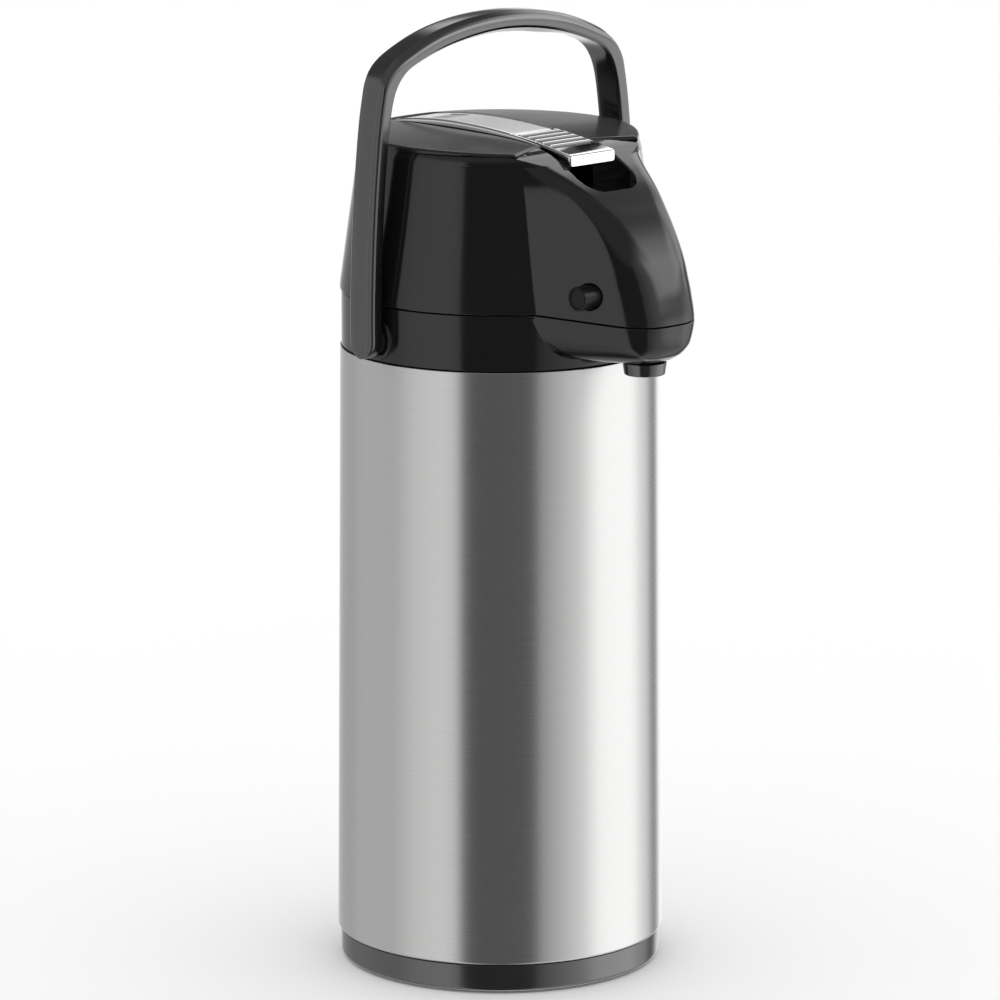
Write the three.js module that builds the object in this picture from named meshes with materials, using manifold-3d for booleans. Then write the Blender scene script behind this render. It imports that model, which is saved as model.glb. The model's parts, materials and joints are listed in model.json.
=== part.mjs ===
// A lever-action thermal airpot of about 3 litres, in millimetres, +Z up.
// The origin is the centre of the foot, on the table. The spout points along -Y, and the handle
// swings about an axis along X. Every mesh is one separate piece of the real object.
import * as THREE from "three";
import { mergeVertices } from "three/addons/utils/BufferGeometryUtils.js";
import Module from "manifold-3d";

const wasm = await Module();
wasm.setup();

// ---------------------------------------------------------------- driving dimensions
const GAP = 0.4; // clearance left between pieces that touch
const FINE = 48; // facets round the outside
const COARSE = 24; // facets round the inner pieces

const SHELL = { bottom: 15, top: 316, lowRadius: 82.8, topRadius: 80.2, wall: 0.8 };
const BASE = { radius: 81.2, neck: 78, bottom: 0.8, footRadius: 73 };
const COLLAR = { radius: 79.6, bottom: 316.4, wall: 2.4, deck: 330, bore: 43 };
const SEAM = { z: 344.5, breakY: -69, tipY: -130, tipZ: 341.6, gap: 0.6 };
const HEAD = { startZ: 347, radius: 80.3, taper: 0.138, wall: 2.4 };
const COVER = { radius: 69.4, high: 423.6, levelY: -15, droop: 0.0006, thick: 3, frontThick: 1.3 };
const LEVER = {
  halfWidth: 15.6,
  crestY: 15,
  crestZ: 427.7,
  frontY: -67,
  backY: 63,
  frontDroop: 0.0011,
  backDroop: 0.00175,
  depth: 5.4,
};
const LEVER_PIN = { y: 54, z: 417.5, radius: 1.6 };
const WELL = { halfWidth: 18, front: -85, back: -50, floor: 388, corner: 8, wall: 1.8 };
const HANDLE = { y: 3.5, pivotZ: 327.5, width: 17, endRadius: 8.5 };
const HINGE = { y: 84.5, z: 347, radius: 3.8, pin: 1.5 };
const LINER = { innerRadius: 63.5, outerRadius: 71, neck: 36, mouthZ: 336, shoulderZ: 286 };
const TUBE = { y: -26, radius: 4.5, bore: 3.2, runZ: 350.5 };
const NOZZLE = { y: -104, top: 321.3, bottom: 315, radius: 11 };
const BUTTON = { y: -96, z: 356, radius: 6, tipX: 38.8, seatX: 27.5 };
const PLATE_SCREWS = [[-52, 30], [52, 30], [-52, -24], [52, -24]];
const PUMP = { y: 4, radius: 41, low: 362, high: 403, outletRadius: 15 };

// Beak stations from the keel to the top: height, forward reach, half-width of the front corner,
// half-width where the side leaves the round wall, and length of the corner's curve.
const BEAK = [
  [321.6, 113, 8, 27, 9],
  [323.2, 116.8, 11, 30.5, 11],
  [327, 121, 14.5, 34.5, 14],
  [334, 123.8, 17.8, 38.5, 18],
  [344, 125, 19.5, 41.3, 20],
  [356, 122.6, 19.8, 41.5, 18.5],
  [368, 117.9, 20.2, 41.4, 16],
  [380, 110, 20.8, 41.3, 12.5],
  [392, 99.8, 22.2, 41.2, 9.5],
  [402, 88.2, 25.3, 41, 7.5],
  [411, 74, 29, 41, 6],
  [416.2, 64.5, 32.2, 41, 5.5],
  [420.3, 56.5, 35.5, 41, 5],
  [422.3, 50, 38.5, 41, 5],
];

// ---------------------------------------------------------------- materials
function finish(color, roughness, metalness = 0) {
  return new THREE.MeshStandardMaterial({ color, roughness, metalness });
}
const MAT = {
  steel: finish(0xb9b9b7, 0.32, 1),
  gloss: finish(0x161617, 0.16),
  satin: finish(0x1f1f20, 0.4),
  chrome: finish(0xdedfe0, 0.08, 1),
  inner: finish(0xe8e6e0, 0.5),
  silicone: finish(0xd9d6cf, 0.7),
  rubber: finish(0x1a1a1a, 0.8),
  glass: finish(0xc9ccce, 0.1, 0.9),
  spring: finish(0x9a9a9c, 0.35, 1),
};

// ---------------------------------------------------------------- solid helpers
function solid(geometry) {
  const soup = geometry.index ? geometry.toNonIndexed() : geometry.clone();
  const bare = new THREE.BufferGeometry();
  bare.setAttribute("position", soup.getAttribute("position"));
  const merged = mergeVertices(bare, 1e-4);
  const triVerts = new Uint32Array(merged.index.array);
  const vertProperties = merged.attributes.position.array;
  let made = new wasm.Manifold(new wasm.Mesh({ numProp: 3, vertProperties, triVerts }));
  if (made.volume() < 0) {
    for (let i = 0; i < triVerts.length; i += 3) {
      [triVerts[i + 1], triVerts[i + 2]] = [triVerts[i + 2], triVerts[i + 1]];
    }
    made = new wasm.Manifold(new wasm.Mesh({ numProp: 3, vertProperties, triVerts }));
  }
  return made;
}

function geometryOf(made) {
  const mesh = made.getMesh();
  const position = new Float32Array(mesh.numVert * 3);
  for (let i = 0; i < mesh.numVert; i++) {
    const start = i * mesh.numProp;
    position.set(mesh.vertProperties.subarray(start, start + 3), i * 3);
  }
  const geometry = new THREE.BufferGeometry();
  geometry.setAttribute("position", new THREE.BufferAttribute(position, 3));
  geometry.setIndex(new THREE.BufferAttribute(mesh.triVerts, 1));
  geometry.computeVertexNormals();
  return geometry;
}

function join(...parts) {
  return parts.reduce((whole, next) => whole.add(next));
}

function cut(whole, ...tools) {
  return tools.reduce((left, tool) => left.subtract(tool), whole);
}

// A solid of revolution about Z from [radius, height] pairs; the profile closes on itself.
function turned(profile, segments = COARSE, y = 0) {
  const points = [...profile, profile[0]].map(([r, z]) => new THREE.Vector2(r, z));
  const geometry = new THREE.LatheGeometry(points, segments);
  return solid(geometry.rotateX(Math.PI / 2).translate(0, y, 0));
}

function ring(inner, outer, low, high, segments = COARSE, y = 0) {
  return turned([[inner, low], [outer, low], [outer, high], [inner, high]], segments, y);
}

function rod(radius, low, high, x = 0, y = 0, segments = COARSE, topRadius = radius) {
  const geometry = new THREE.CylinderGeometry(topRadius, radius, high - low, segments);
  return solid(geometry.rotateX(Math.PI / 2).translate(x, y, (low + high) / 2));
}

function crossRod(radius, fromX, toX, y, z, segments = 24) {
  const geometry = new THREE.CylinderGeometry(radius, radius, toX - fromX, segments);
  return solid(geometry.rotateZ(-Math.PI / 2).translate((fromX + toX) / 2, y, z));
}

function block(fromX, toX, fromY, toY, low, high) {
  const geometry = new THREE.BoxGeometry(toX - fromX, toY - fromY, high - low);
  return solid(geometry.translate((fromX + toX) / 2, (fromY + toY) / 2, (low + high) / 2));
}

// A side outline of [y, z] pairs, pushed along X.
function sideSlab(outline, fromX, toX) {
  const shape = new THREE.Shape(outline.map(([y, z]) => new THREE.Vector2(y, z)));
  const geometry = new THREE.ExtrudeGeometry(shape, { depth: toX - fromX, bevelEnabled: false });
  const turn = new THREE.Matrix4().makeBasis(
    new THREE.Vector3(0, 1, 0),
    new THREE.Vector3(0, 0, 1),
    new THREE.Vector3(1, 0, 0),
  );
  return solid(geometry.applyMatrix4(turn).translate(fromX, 0, 0));
}

// A plan shape pushed along Z.
function planSlab(shape, low, high, curveSegments = 6) {
  const settings = { depth: high - low, bevelEnabled: false, curveSegments };
  return solid(new THREE.ExtrudeGeometry(shape, settings).translate(0, 0, low));
}

// A rectangle in plan with round corners.
function roundedPlan(halfWidth, front, back, radius) {
  const shape = new THREE.Shape();
  shape.moveTo(-halfWidth, back);
  shape.lineTo(-halfWidth, front + radius);
  shape.absarc(-halfWidth + radius, front + radius, radius, Math.PI, 1.5 * Math.PI);
  shape.absarc(halfWidth - radius, front + radius, radius, 1.5 * Math.PI, 2 * Math.PI);
  shape.lineTo(halfWidth, back);
  return shape;
}

// A closed solid through flat loops of [x, y] pairs at rising heights; the loops run clockwise.
function loft(clockwise, heights) {
  const loops = clockwise.map((loop) => [...loop].reverse());
  const count = loops[0].length;
  const position = loops.flatMap((loop, k) => loop.flatMap(([x, y]) => [x, y, heights[k]]));
  const index = [];
  for (let k = 0; k + 1 < loops.length; k++) {
    for (let i = 0; i < count; i++) {
      const a = k * count + i;
      const b = k * count + ((i + 1) % count);
      index.push(a, b, b + count, a, b + count, a + count);
    }
  }
  const last = (loops.length - 1) * count;
  for (const [first, loop, z] of [[0, loops[0], heights[0]], [last, loops.at(-1), heights.at(-1)]]) {
    const middle = loop.reduce((sum, [, y]) => sum + y, 0) / count;
    const hub = position.push(0, middle, z) / 3 - 1;
    for (let i = 0; i < count; i++) {
      const [a, b] = [first + i, first + ((i + 1) % count)];
      index.push(...(first === 0 ? [b, a, hub] : [a, b, hub]));
    }
  }
  const geometry = new THREE.BufferGeometry();
  geometry.setAttribute("position", new THREE.Float32BufferAttribute(position, 3));
  geometry.setIndex(index);
  return solid(geometry);
}

// A round tube along a path, hollow when it has a bore.
function pipe(path, radius, bore, steps, sides = 12) {
  const shape = new THREE.Shape().absarc(0, 0, radius, 0, 2 * Math.PI);
  if (bore) shape.holes.push(new THREE.Path().absarc(0, 0, bore, 0, 2 * Math.PI));
  const settings = { steps, extrudePath: path, bevelEnabled: false, curveSegments: sides };
  return solid(new THREE.ExtrudeGeometry(shape, settings));
}

// A path through straight runs with rounded bends.
function bentPath(points, bend) {
  const path = new THREE.CurvePath();
  const at = points.map((p) => new THREE.Vector3(...p));
  let from = at[0];
  for (let i = 1; i + 1 < at.length; i++) {
    const into = at[i].clone().add(at[i - 1].clone().sub(at[i]).setLength(bend));
    const out = at[i].clone().add(at[i + 1].clone().sub(at[i]).setLength(bend));
    path.add(new THREE.LineCurve3(from, into));
    path.add(new THREE.QuadraticBezierCurve3(into, at[i], out));
    from = out;
  }
  path.add(new THREE.LineCurve3(from, at.at(-1)));
  return path;
}

// ---------------------------------------------------------------- head and beak sections
// Smooth, overshoot-free interpolation of one column of the beak stations.
function station(z, column) {
  const last = BEAK.length - 1;
  const height = Math.min(Math.max(z, BEAK[0][0]), BEAK[last][0]);
  let k = 0;
  while (k < last - 1 && height > BEAK[k + 1][0]) k++;
  const slope = (i) => (BEAK[i + 1][column] - BEAK[i][column]) / (BEAK[i + 1][0] - BEAK[i][0]);
  const tangent = (i) => {
    if (i === 0) return slope(0);
    if (i === last) return slope(last - 1);
    const [before, after] = [slope(i - 1), slope(i)];
    return before * after <= 0 ? 0 : (2 * before * after) / (before + after);
  };
  const span = BEAK[k + 1][0] - BEAK[k][0];
  const t = (height - BEAK[k][0]) / span;
  const [t2, t3] = [t * t, t * t * t];
  return (
    (2 * t3 - 3 * t2 + 1) * BEAK[k][column] +
    (t3 - 2 * t2 + t) * span * tangent(k) +
    (3 * t2 - 2 * t3) * BEAK[k + 1][column] +
    (t3 - t2) * span * tangent(k + 1)
  );
}

function wallRadius(z) {
  return HEAD.radius - HEAD.taper * Math.max(0, z - HEAD.startZ);
}

// One flank of the beak at height z, from start back on the flank to the middle of the front.
function flank(z, start, corner, sideSteps = 2, cornerSteps = 4, frontSteps = 2) {
  const points = [];
  const length = Math.hypot(start[0] - corner[0], start[1] - corner[1]);
  const soft = Math.min(station(z, 4), 0.85 * length, 0.85 * corner[0]);
  const back = [
    corner[0] + ((start[0] - corner[0]) * soft) / Math.max(length, 1e-6),
    corner[1] + ((start[1] - corner[1]) * soft) / Math.max(length, 1e-6),
  ];
  const along = [corner[0] - soft, corner[1]];
  for (let i = 0; i < sideSteps; i++) {
    const t = i / sideSteps;
    points.push([start[0] + (back[0] - start[0]) * t, start[1] + (back[1] - start[1]) * t]);
  }
  for (let i = 0; i <= cornerSteps; i++) {
    const t = i / cornerSteps;
    const [a, b, c] = [(1 - t) ** 2, 2 * t * (1 - t), t * t];
    points.push([
      a * back[0] + b * corner[0] + c * along[0],
      a * back[1] + b * corner[1] + c * along[1],
    ]);
  }
  for (let i = 1; i <= frontSteps; i++) {
    points.push([along[0] * (1 - i / frontSteps), corner[1]]);
  }
  return points;
}

// The right half mirrored into a closed loop; the half ends on the centre line.
function mirrored(half) {
  const left = half.slice(0, -1).map(([x, y]) => [-x, y]).reverse();
  return [...half, ...left];
}

// The whole head at height z: the round wall with the beak growing out of it.
function headLoop(z, arcSteps = 20) {
  const radius = wallRadius(z);
  const reach = station(z, 1);
  let corner = [station(z, 2), -reach];
  const side = station(z, 3);
  let start = [side, -Math.sqrt(radius ** 2 - side ** 2)];
  if (Math.hypot(...corner) <= radius + 1) {
    const x = Math.sqrt(radius ** 2 - reach ** 2);
    start = [x + 0.4, -Math.sqrt(radius ** 2 - (x + 0.4) ** 2)];
    corner = [x, -reach];
  }
  const half = [];
  const end = Math.atan2(start[0], -start[1]);
  for (let i = 0; i < arcSteps; i++) {
    const angle = Math.PI - (i / arcSteps) * (Math.PI - end);
    half.push([radius * Math.sin(angle), -radius * Math.cos(angle)]);
  }
  half.push(...flank(z, start, corner));
  half[0][0] = 0;
  return [...half, ...half.slice(1, -1).map(([x, y]) => [-x, y]).reverse()];
}

// The beak alone at height z, cut off square inside the collar.
function beakLoop(z, backY) {
  const corner = [station(z, 2), -station(z, 1)];
  const side = station(z, 3);
  const slope = (side - corner[0]) / (corner[1] - SEAM.breakY);
  return mirrored(flank(z, [side + slope * (SEAM.breakY - backY), backY], corner, 3));
}

// A loop moved inwards by a distance.
function inset(loop, distance) {
  const count = loop.length;
  const area = loop.reduce((sum, [x, y], i) => {
    const [u, v] = loop[(i + 1) % count];
    return sum + x * v - u * y;
  }, 0);
  const turn = Math.sign(area);
  return loop.map(([x, y], i) => {
    const before = loop[(i + count - 1) % count];
    const after = loop[(i + 1) % count];
    const a = new THREE.Vector2(x - before[0], y - before[1]).normalize();
    const b = new THREE.Vector2(after[0] - x, after[1] - y).normalize();
    const normal = new THREE.Vector2(-(a.y + b.y), a.x + b.x).normalize();
    const share = Math.max(0.6, Math.abs(normal.x * -a.y + normal.y * a.x));
    return [
      x + (turn * distance * normal.x) / share,
      y + (turn * distance * normal.y) / share,
    ];
  });
}

// Everything above (or below) the parting line between collar and lid.
function pastSeam(above, shift) {
  const far = above ? 600 : -100;
  const line = [
    [120, SEAM.z + shift],
    [SEAM.breakY, SEAM.z + shift],
    [SEAM.tipY - 20, SEAM.tipZ + shift - 1],
  ];
  return sideSlab([...line, [SEAM.tipY - 20, far], [120, far]], -120, 120);
}

// ---------------------------------------------------------------- top surfaces
function coverHeight(y) {
  return COVER.high - COVER.droop * Math.min(0, y - COVER.levelY) ** 2;
}

function leverHeight(y) {
  const droop = y < LEVER.crestY ? LEVER.frontDroop : LEVER.backDroop;
  return LEVER.crestZ - droop * (y - LEVER.crestY) ** 2;
}

// The cover's rim is thinner at the front, so the gap under it climbs towards the beak.
function coverBottom(y) {
  const share = Math.min(1, Math.max(0, (5 - y) / 55));
  return coverHeight(y) - COVER.thick + (COVER.thick - COVER.frontThick) * share;
}

// A slab along Y between two height curves.
function curvedSlab(upper, lower, fromY, toY, fromX, toX, steps = 14) {
  const stations = Array.from({ length: steps + 1 }, (_, i) => fromY + ((toY - fromY) * i) / steps);
  const over = stations.map((y) => [y, upper(y)]);
  const under = stations.map((y) => [y, lower(y)]).reverse();
  return sideSlab([...over, ...under], fromX, toX);
}

// ---------------------------------------------------------------- base and body
const foot = ring(BASE.footRadius - 5, BASE.footRadius, 0, 3.2, FINE);

const baseRing = turned(
  [
    [BASE.footRadius - 6, 3.6],
    [BASE.footRadius + GAP, 3.6],
    [BASE.footRadius + GAP, BASE.bottom],
    [BASE.radius - 1.6, BASE.bottom],
    [BASE.radius, 2.6],
    [BASE.radius, SHELL.bottom - GAP],
    [BASE.neck, SHELL.bottom - GAP],
    [BASE.neck, 27],
    [BASE.neck - 2.4, 27],
    [BASE.neck - 2.4, 11],
    [52, 11],
    [52, 7],
    [BASE.footRadius - 6, 7],
  ],
  FINE,
);

// The cap unscrews by a flush bar across its recess.
const bottomCap = join(
  turned([
    [0, 4],
    [46, 4],
    [46, 8],
    [51.4, 8],
    [51.4, 14],
    [40, 14],
    [36, 9],
    [0, 9],
  ]),
  block(-30, 30, -4, 4, 0, 5),
);

const linerCushion = turned([
  [0, 9.4],
  [35.5, 9.4],
  [39.5, 14.4],
  [39.5, 21],
  [33, 21],
  [26, 17.5],
  [0, 16],
]);

const bodyShell = turned(
  [
    [SHELL.lowRadius - 3.2, SHELL.bottom],
    [SHELL.lowRadius - 1.2, SHELL.bottom + 0.4],
    [SHELL.lowRadius, SHELL.bottom + 3],
    [SHELL.topRadius, SHELL.top],
    [SHELL.topRadius - SHELL.wall, SHELL.top],
    [SHELL.lowRadius - SHELL.wall, SHELL.bottom + 3.6],
    [SHELL.lowRadius - 3.2, SHELL.bottom + 1.4],
  ],
  FINE,
);

const shellSeal = ring(77.4, 78.9, 312, SHELL.top - 0.2, FINE);

// ---------------------------------------------------------------- vacuum liner
// Both walls follow one bottle shape: a domed bottom, a straight wall, a shoulder and a neck.
function bottle(radius, neck, low, high, wall) {
  const outside = [
    [0, low],
    [radius * 0.45, low + 2],
    [radius * 0.8, low + 11],
    [radius, low + 32],
    [radius, LINER.shoulderZ],
    [radius - 7, LINER.shoulderZ + 20],
    [neck + 8, LINER.shoulderZ + 33],
    [neck, LINER.shoulderZ + 38],
    [neck, high],
  ];
  const inside = outside.map(([r, z]) => [
    Math.max(0, r - wall),
    Math.min(high, z + (z < LINER.shoulderZ ? wall : -wall * 0.6)),
  ]);
  return turned([...outside, [neck - wall, high], ...inside.slice(0, -1).reverse()], FINE / 2);
}
const linerOuter = bottle(LINER.outerRadius, LINER.neck + 4.4, 21.6, LINER.mouthZ - 1.6, 1.2);
const linerInner = join(
  bottle(LINER.innerRadius + 1.2, LINER.neck + 1.2, 29, LINER.mouthZ, 1.2),
  ring(LINER.neck + 0.6, LINER.neck + 4.4, LINER.mouthZ - 1.2, LINER.mouthZ),
);

// ---------------------------------------------------------------- collar
function handleBosses(radius, reach) {
  const left = crossRod(radius, -reach, -74, HANDLE.y, HANDLE.pivotZ);
  const right = crossRod(radius, 74, reach, HANDLE.y, HANDLE.pivotZ);
  return join(left, right);
}

function makeCollar() {
  const wallInside = COLLAR.radius - COLLAR.wall;
  const band = turned(
    [
      [COLLAR.radius - 3, 303],
      [COLLAR.radius - 1, 303],
      [COLLAR.radius - 1, 311.5],
      [COLLAR.radius - 2.8, 311.5],
      [COLLAR.radius - 2.8, COLLAR.bottom],
      [COLLAR.radius, COLLAR.bottom],
      [COLLAR.radius, SEAM.z - SEAM.gap / 2],
      [wallInside, SEAM.z - SEAM.gap / 2],
      [wallInside, COLLAR.deck + 3],
      [COLLAR.bore, COLLAR.deck],
      [COLLAR.bore, COLLAR.deck - 3],
      [COLLAR.radius - 5, COLLAR.deck - 2],
      [COLLAR.radius - 5, 306],
    ],
    FINE,
  );
  const heights = BEAK.slice(0, 5).map(([z]) => z);
  const hull = loft([...heights, 346].map((z) => beakLoop(z, -60)), [...heights, 346]);
  const hollowHeights = [324, 326, 330, 337, 350];
  const hollow = loft(
    hollowHeights.map((z) => inset(beakLoop(z - 1.6, -50), COLLAR.wall)),
    hollowHeights,
  );
  const bore = rod(COLLAR.radius - 2, 300, 400, 0, 0, FINE);
  const keel = cut(hull, bore);
  const knuckles = [
    [-24, -12],
    [12, 24],
  ].map(([from, to]) =>
    join(
      crossRod(HINGE.radius, from, to, HINGE.y, HINGE.z),
      cut(block(from, to, 70, HINGE.y + HINGE.radius, 333, HINGE.z - 2), rod(78, 300, 400)),
    ),
  );
  const lowSide = sideSlab([[79.7, 330], [95, 330], [95, 342], [HINGE.y + 3, 342]], -30, 30);
  const whole = join(band, keel, ...knuckles, handleBosses(10.5, 80.6));
  return cut(
    whole,
    cut(hollow, rod(60, 300, 400)),
    pastSeam(true, -SEAM.gap / 2).subtract(block(-40, 40, 80.6, 100, 330, 360)),
    lowSide,
    crossRod(HINGE.pin + 0.3, -40, 40, HINGE.y, HINGE.z),
    handleBosses(3.4, 90),
    crossRod(5.6, -74, -66, HANDLE.y, HANDLE.pivotZ),
    crossRod(5.6, 66, 74, HANDLE.y, HANDLE.pivotZ),
    rod(8.4, 318, 326, 0, NOZZLE.y),
  );
}
const collar = makeCollar();

const neckGasket = turned([
  [LINER.neck + 4.8, COLLAR.deck - 4],
  [COLLAR.bore - GAP, COLLAR.deck - 4],
  [COLLAR.bore - GAP, COLLAR.deck + 1],
  [COLLAR.bore + 2, COLLAR.deck + 1.2],
  [COLLAR.bore + 1, COLLAR.deck + 4],
  [LINER.neck + 4.8, COLLAR.deck + 4],
]);

// ---------------------------------------------------------------- delivery tube and nozzle
const mouthPacking = cut(
  turned([
    [11, LINER.mouthZ - 5],
    [LINER.neck - GAP, LINER.mouthZ - 5],
    [LINER.neck - GAP, LINER.mouthZ + GAP],
    [LINER.neck + 4.4, LINER.mouthZ + GAP],
    [LINER.neck + 4.4, LINER.mouthZ + 3],
    [19, LINER.mouthZ + 3],
    [17, LINER.mouthZ + 1],
    [11, LINER.mouthZ + 1],
  ]),
  rod(TUBE.radius + GAP, 320, 350, 0, TUBE.y, 24),
);
const dipTube = ring(TUBE.bore, TUBE.radius, 41, LINER.mouthZ + 4, 16, TUBE.y);

const tubeFoot = cut(
  ring(TUBE.radius + GAP, 7, 36, 47, 16, TUBE.y),
  block(-1.5, 1.5, TUBE.y - 9, TUBE.y + 9, 35, 39),
  block(-9, 9, TUBE.y - 1.5, TUBE.y + 1.5, 35, 39),
);

const spoutElbow = pipe(
  bentPath(
    [
      [0, TUBE.y, LINER.mouthZ + 4.4],
      [0, TUBE.y, TUBE.runZ],
      [0, NOZZLE.y, TUBE.runZ],
      [0, NOZZLE.y, NOZZLE.bottom + 1],
    ],
    8,
  ),
  TUBE.radius,
  TUBE.bore,
  28,
  5,
);

const nozzle = turned(
  [
    [TUBE.radius + GAP, NOZZLE.bottom],
    [NOZZLE.radius - 1, NOZZLE.bottom],
    [NOZZLE.radius, NOZZLE.top],
    [8, NOZZLE.top],
    [8, 330],
    [TUBE.radius + GAP, 330],
  ],
  COARSE,
  NOZZLE.y,
);

// ---------------------------------------------------------------- handle
// The front outline of the bail: down the outside of one leg, over the arch and back inside.
function makeHandle() {
  const outer = [[0, 483.5], [24, 482], [46, 477.3], [60, 472.3], [72, 466.2], [78, 461]];
  outer.push([80.6, 455], [82, 447], [84.6, 432], [87, 416], [89, 395], [90.2, 373]);
  outer.push([91, 350], [91, 318]);
  const inner = [[0, 472.6], [18, 471.8], [36, 468.6], [50, 465], [62, 461], [69, 456.8]];
  inner.push([73, 452.4], [74.6, 446], [77, 430], [79.6, 414], [81.4, 395], [82.6, 373]);
  inner.push([82.8, 350], [82.8, 318]);
  const mirror = (list) => list.slice(1).map(([x, z]) => [-x, z]).reverse();
  const outline = [...mirror(outer), ...outer, ...[...inner].reverse(), ...mirror(inner).reverse()];
  const shape = new THREE.Shape(outline.map(([x, z]) => new THREE.Vector2(x, z)));
  const bevel = 1.6;
  const geometry = new THREE.ExtrudeGeometry(shape, {
    depth: HANDLE.width - 2 * bevel,
    bevelThickness: bevel,
    bevelSize: bevel,
    bevelOffset: -bevel,
    bevelSegments: 1,
  });
  geometry.rotateX(Math.PI / 2).translate(0, HANDLE.y + HANDLE.width / 2 - bevel, 0);
  const bail = solid(geometry);
  const half = HANDLE.width / 2;
  const roundEnd = [[HANDLE.y - half, 500]];
  for (let i = 0; i <= 10; i++) {
    const angle = Math.PI + (Math.PI * i) / 10;
    roundEnd.push([
      HANDLE.y + half * Math.cos(angle),
      HANDLE.pivotZ + HANDLE.endRadius * Math.sin(angle),
    ]);
  }
  roundEnd.push([HANDLE.y + half, 500]);
  const trimmed = bail.intersect(sideSlab(roundEnd, -100, 100));
  return cut(
    trimmed,
    crossRod(3.4, 70, 89, HANDLE.y, HANDLE.pivotZ),
    crossRod(3.4, -89, -70, HANDLE.y, HANDLE.pivotZ),
  );
}

// A headed pin from inside the collar's boss into the blind hole of the leg.
function handlePin(side) {
  const pin = join(
    crossRod(3, 73, 88.6, HANDLE.y, HANDLE.pivotZ),
    crossRod(5, 72, 73.6, HANDLE.y, HANDLE.pivotZ),
  );
  return side < 0 ? pin.mirror([1, 0, 0]) : pin;
}

function pivotWasher(side) {
  const washer = cut(
    crossRod(7, 81, 82.4, HANDLE.y, HANDLE.pivotZ),
    crossRod(3.4, 70, 95, HANDLE.y, HANDLE.pivotZ),
  );
  return side < 0 ? washer.mirror([1, 0, 0]) : washer;
}

// ---------------------------------------------------------------- lid shell and top cover
// The plan of the top cover: round, with a bay in front where the beak's deck begins.
function coverPlan(radius, bayShift) {
  const shape = new THREE.Shape();
  const sideY = -56.5 + bayShift;
  const sideX = Math.sqrt(COVER.radius ** 2 - sideY ** 2);
  const from = Math.asin(sideY / radius);
  shape.absarc(0, 0, radius, from, Math.PI - from, false);
  shape.lineTo(-sideX, sideY);
  shape.quadraticCurveTo(-25, -49 + bayShift, -18, -48 + bayShift);
  shape.lineTo(18, -48 + bayShift);
  shape.quadraticCurveTo(25, -49 + bayShift, sideX, sideY);
  return shape;
}

function wellPlan(grow) {
  return roundedPlan(WELL.halfWidth + grow, WELL.front - grow, WELL.back + grow, WELL.corner + grow);
}

function makeLidShell() {
  const heights = [338, 347, 354, 362, 370, 378, 385, 392, 398, 404, 410, 415, 419, 422.3];
  const outside = loft(heights.map((z) => headLoop(z)), heights);
  const inHeights = [330, 347, 358, 370, 382, 393, 403, 411, 417.5];
  const inside = loft(
    inHeights.map((z) => inset(headLoop(z + (z < 340 ? 0 : 2.4), 20), HEAD.wall)),
    inHeights,
  );
  const seat = planSlab(coverPlan(90, 0.5), 400, 440, 24).intersect(
    curvedSlab(() => 440, (y) => coverBottom(y) - GAP, -90, 90, -90, 90),
  );
  const wellOuter = planSlab(wellPlan(WELL.wall), WELL.floor - WELL.wall, 440);
  const wellWall = wellOuter.intersect(outside);
  const wellInner = planSlab(wellPlan(0), WELL.floor, 440);
  const window = join(rod(46, 380, 440, 0, 2, FINE), block(-22, 22, 0, 64, 380, 440));
  const throat = block(-WELL.halfWidth, WELL.halfWidth, -53, -35, 396, 440);
  const knuckle = join(
    crossRod(HINGE.radius, -11.6, 11.6, HINGE.y, HINGE.z),
    block(-11.6, 11.6, 78.2, HINGE.y + 2, HINGE.z, 354),
  );
  const slope = sideSlab([[HINGE.y - 3.4, 355], [95, 355], [95, 349], [HINGE.y + 1, 349]], -20, 20);
  const springPost = block(-8, 8, BUTTON.y - 4.3, BUTTON.y + 4.2, BUTTON.z, 400).intersect(outside);
  const shellBody = join(cut(outside, inside, seat), wellWall, springPost);
  const whole = join(shellBody, cut(knuckle, slope, inside));
  return cut(
    whole,
    wellInner,
    window,
    throat,
    pastSeam(false, SEAM.gap / 2).subtract(block(-12, 12, 80.6, 100, 330, 360)),
    crossRod(HINGE.pin + 0.3, -40, 40, HINGE.y, HINGE.z),
    crossRod(BUTTON.radius + 0.6, -60, -20, BUTTON.y, BUTTON.z),
  );
}

// Two cheeks under the cover hold the lever's pin.
function makeTopCover() {
  const plate = planSlab(coverPlan(COVER.radius, 0.9), 400, 440, 24).intersect(
    curvedSlab(coverHeight, coverBottom, -90, 90, -90, 90),
  );
  const slot = block(-LEVER.halfWidth - 0.9, LEVER.halfWidth + 0.9, -90, 66, 400, 440);
  const cheeks = [-1, 1].map((side) =>
    block(side * 18.8 - 1.8, side * 18.8 + 1.8, 46, 61, 411, 421.5),
  );
  const pinHole = crossRod(LEVER_PIN.radius + 0.2, -24, 24, LEVER_PIN.y, LEVER_PIN.z);
  return cut(join(cut(plate, slot), ...cheeks), pinHole);
}

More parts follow.
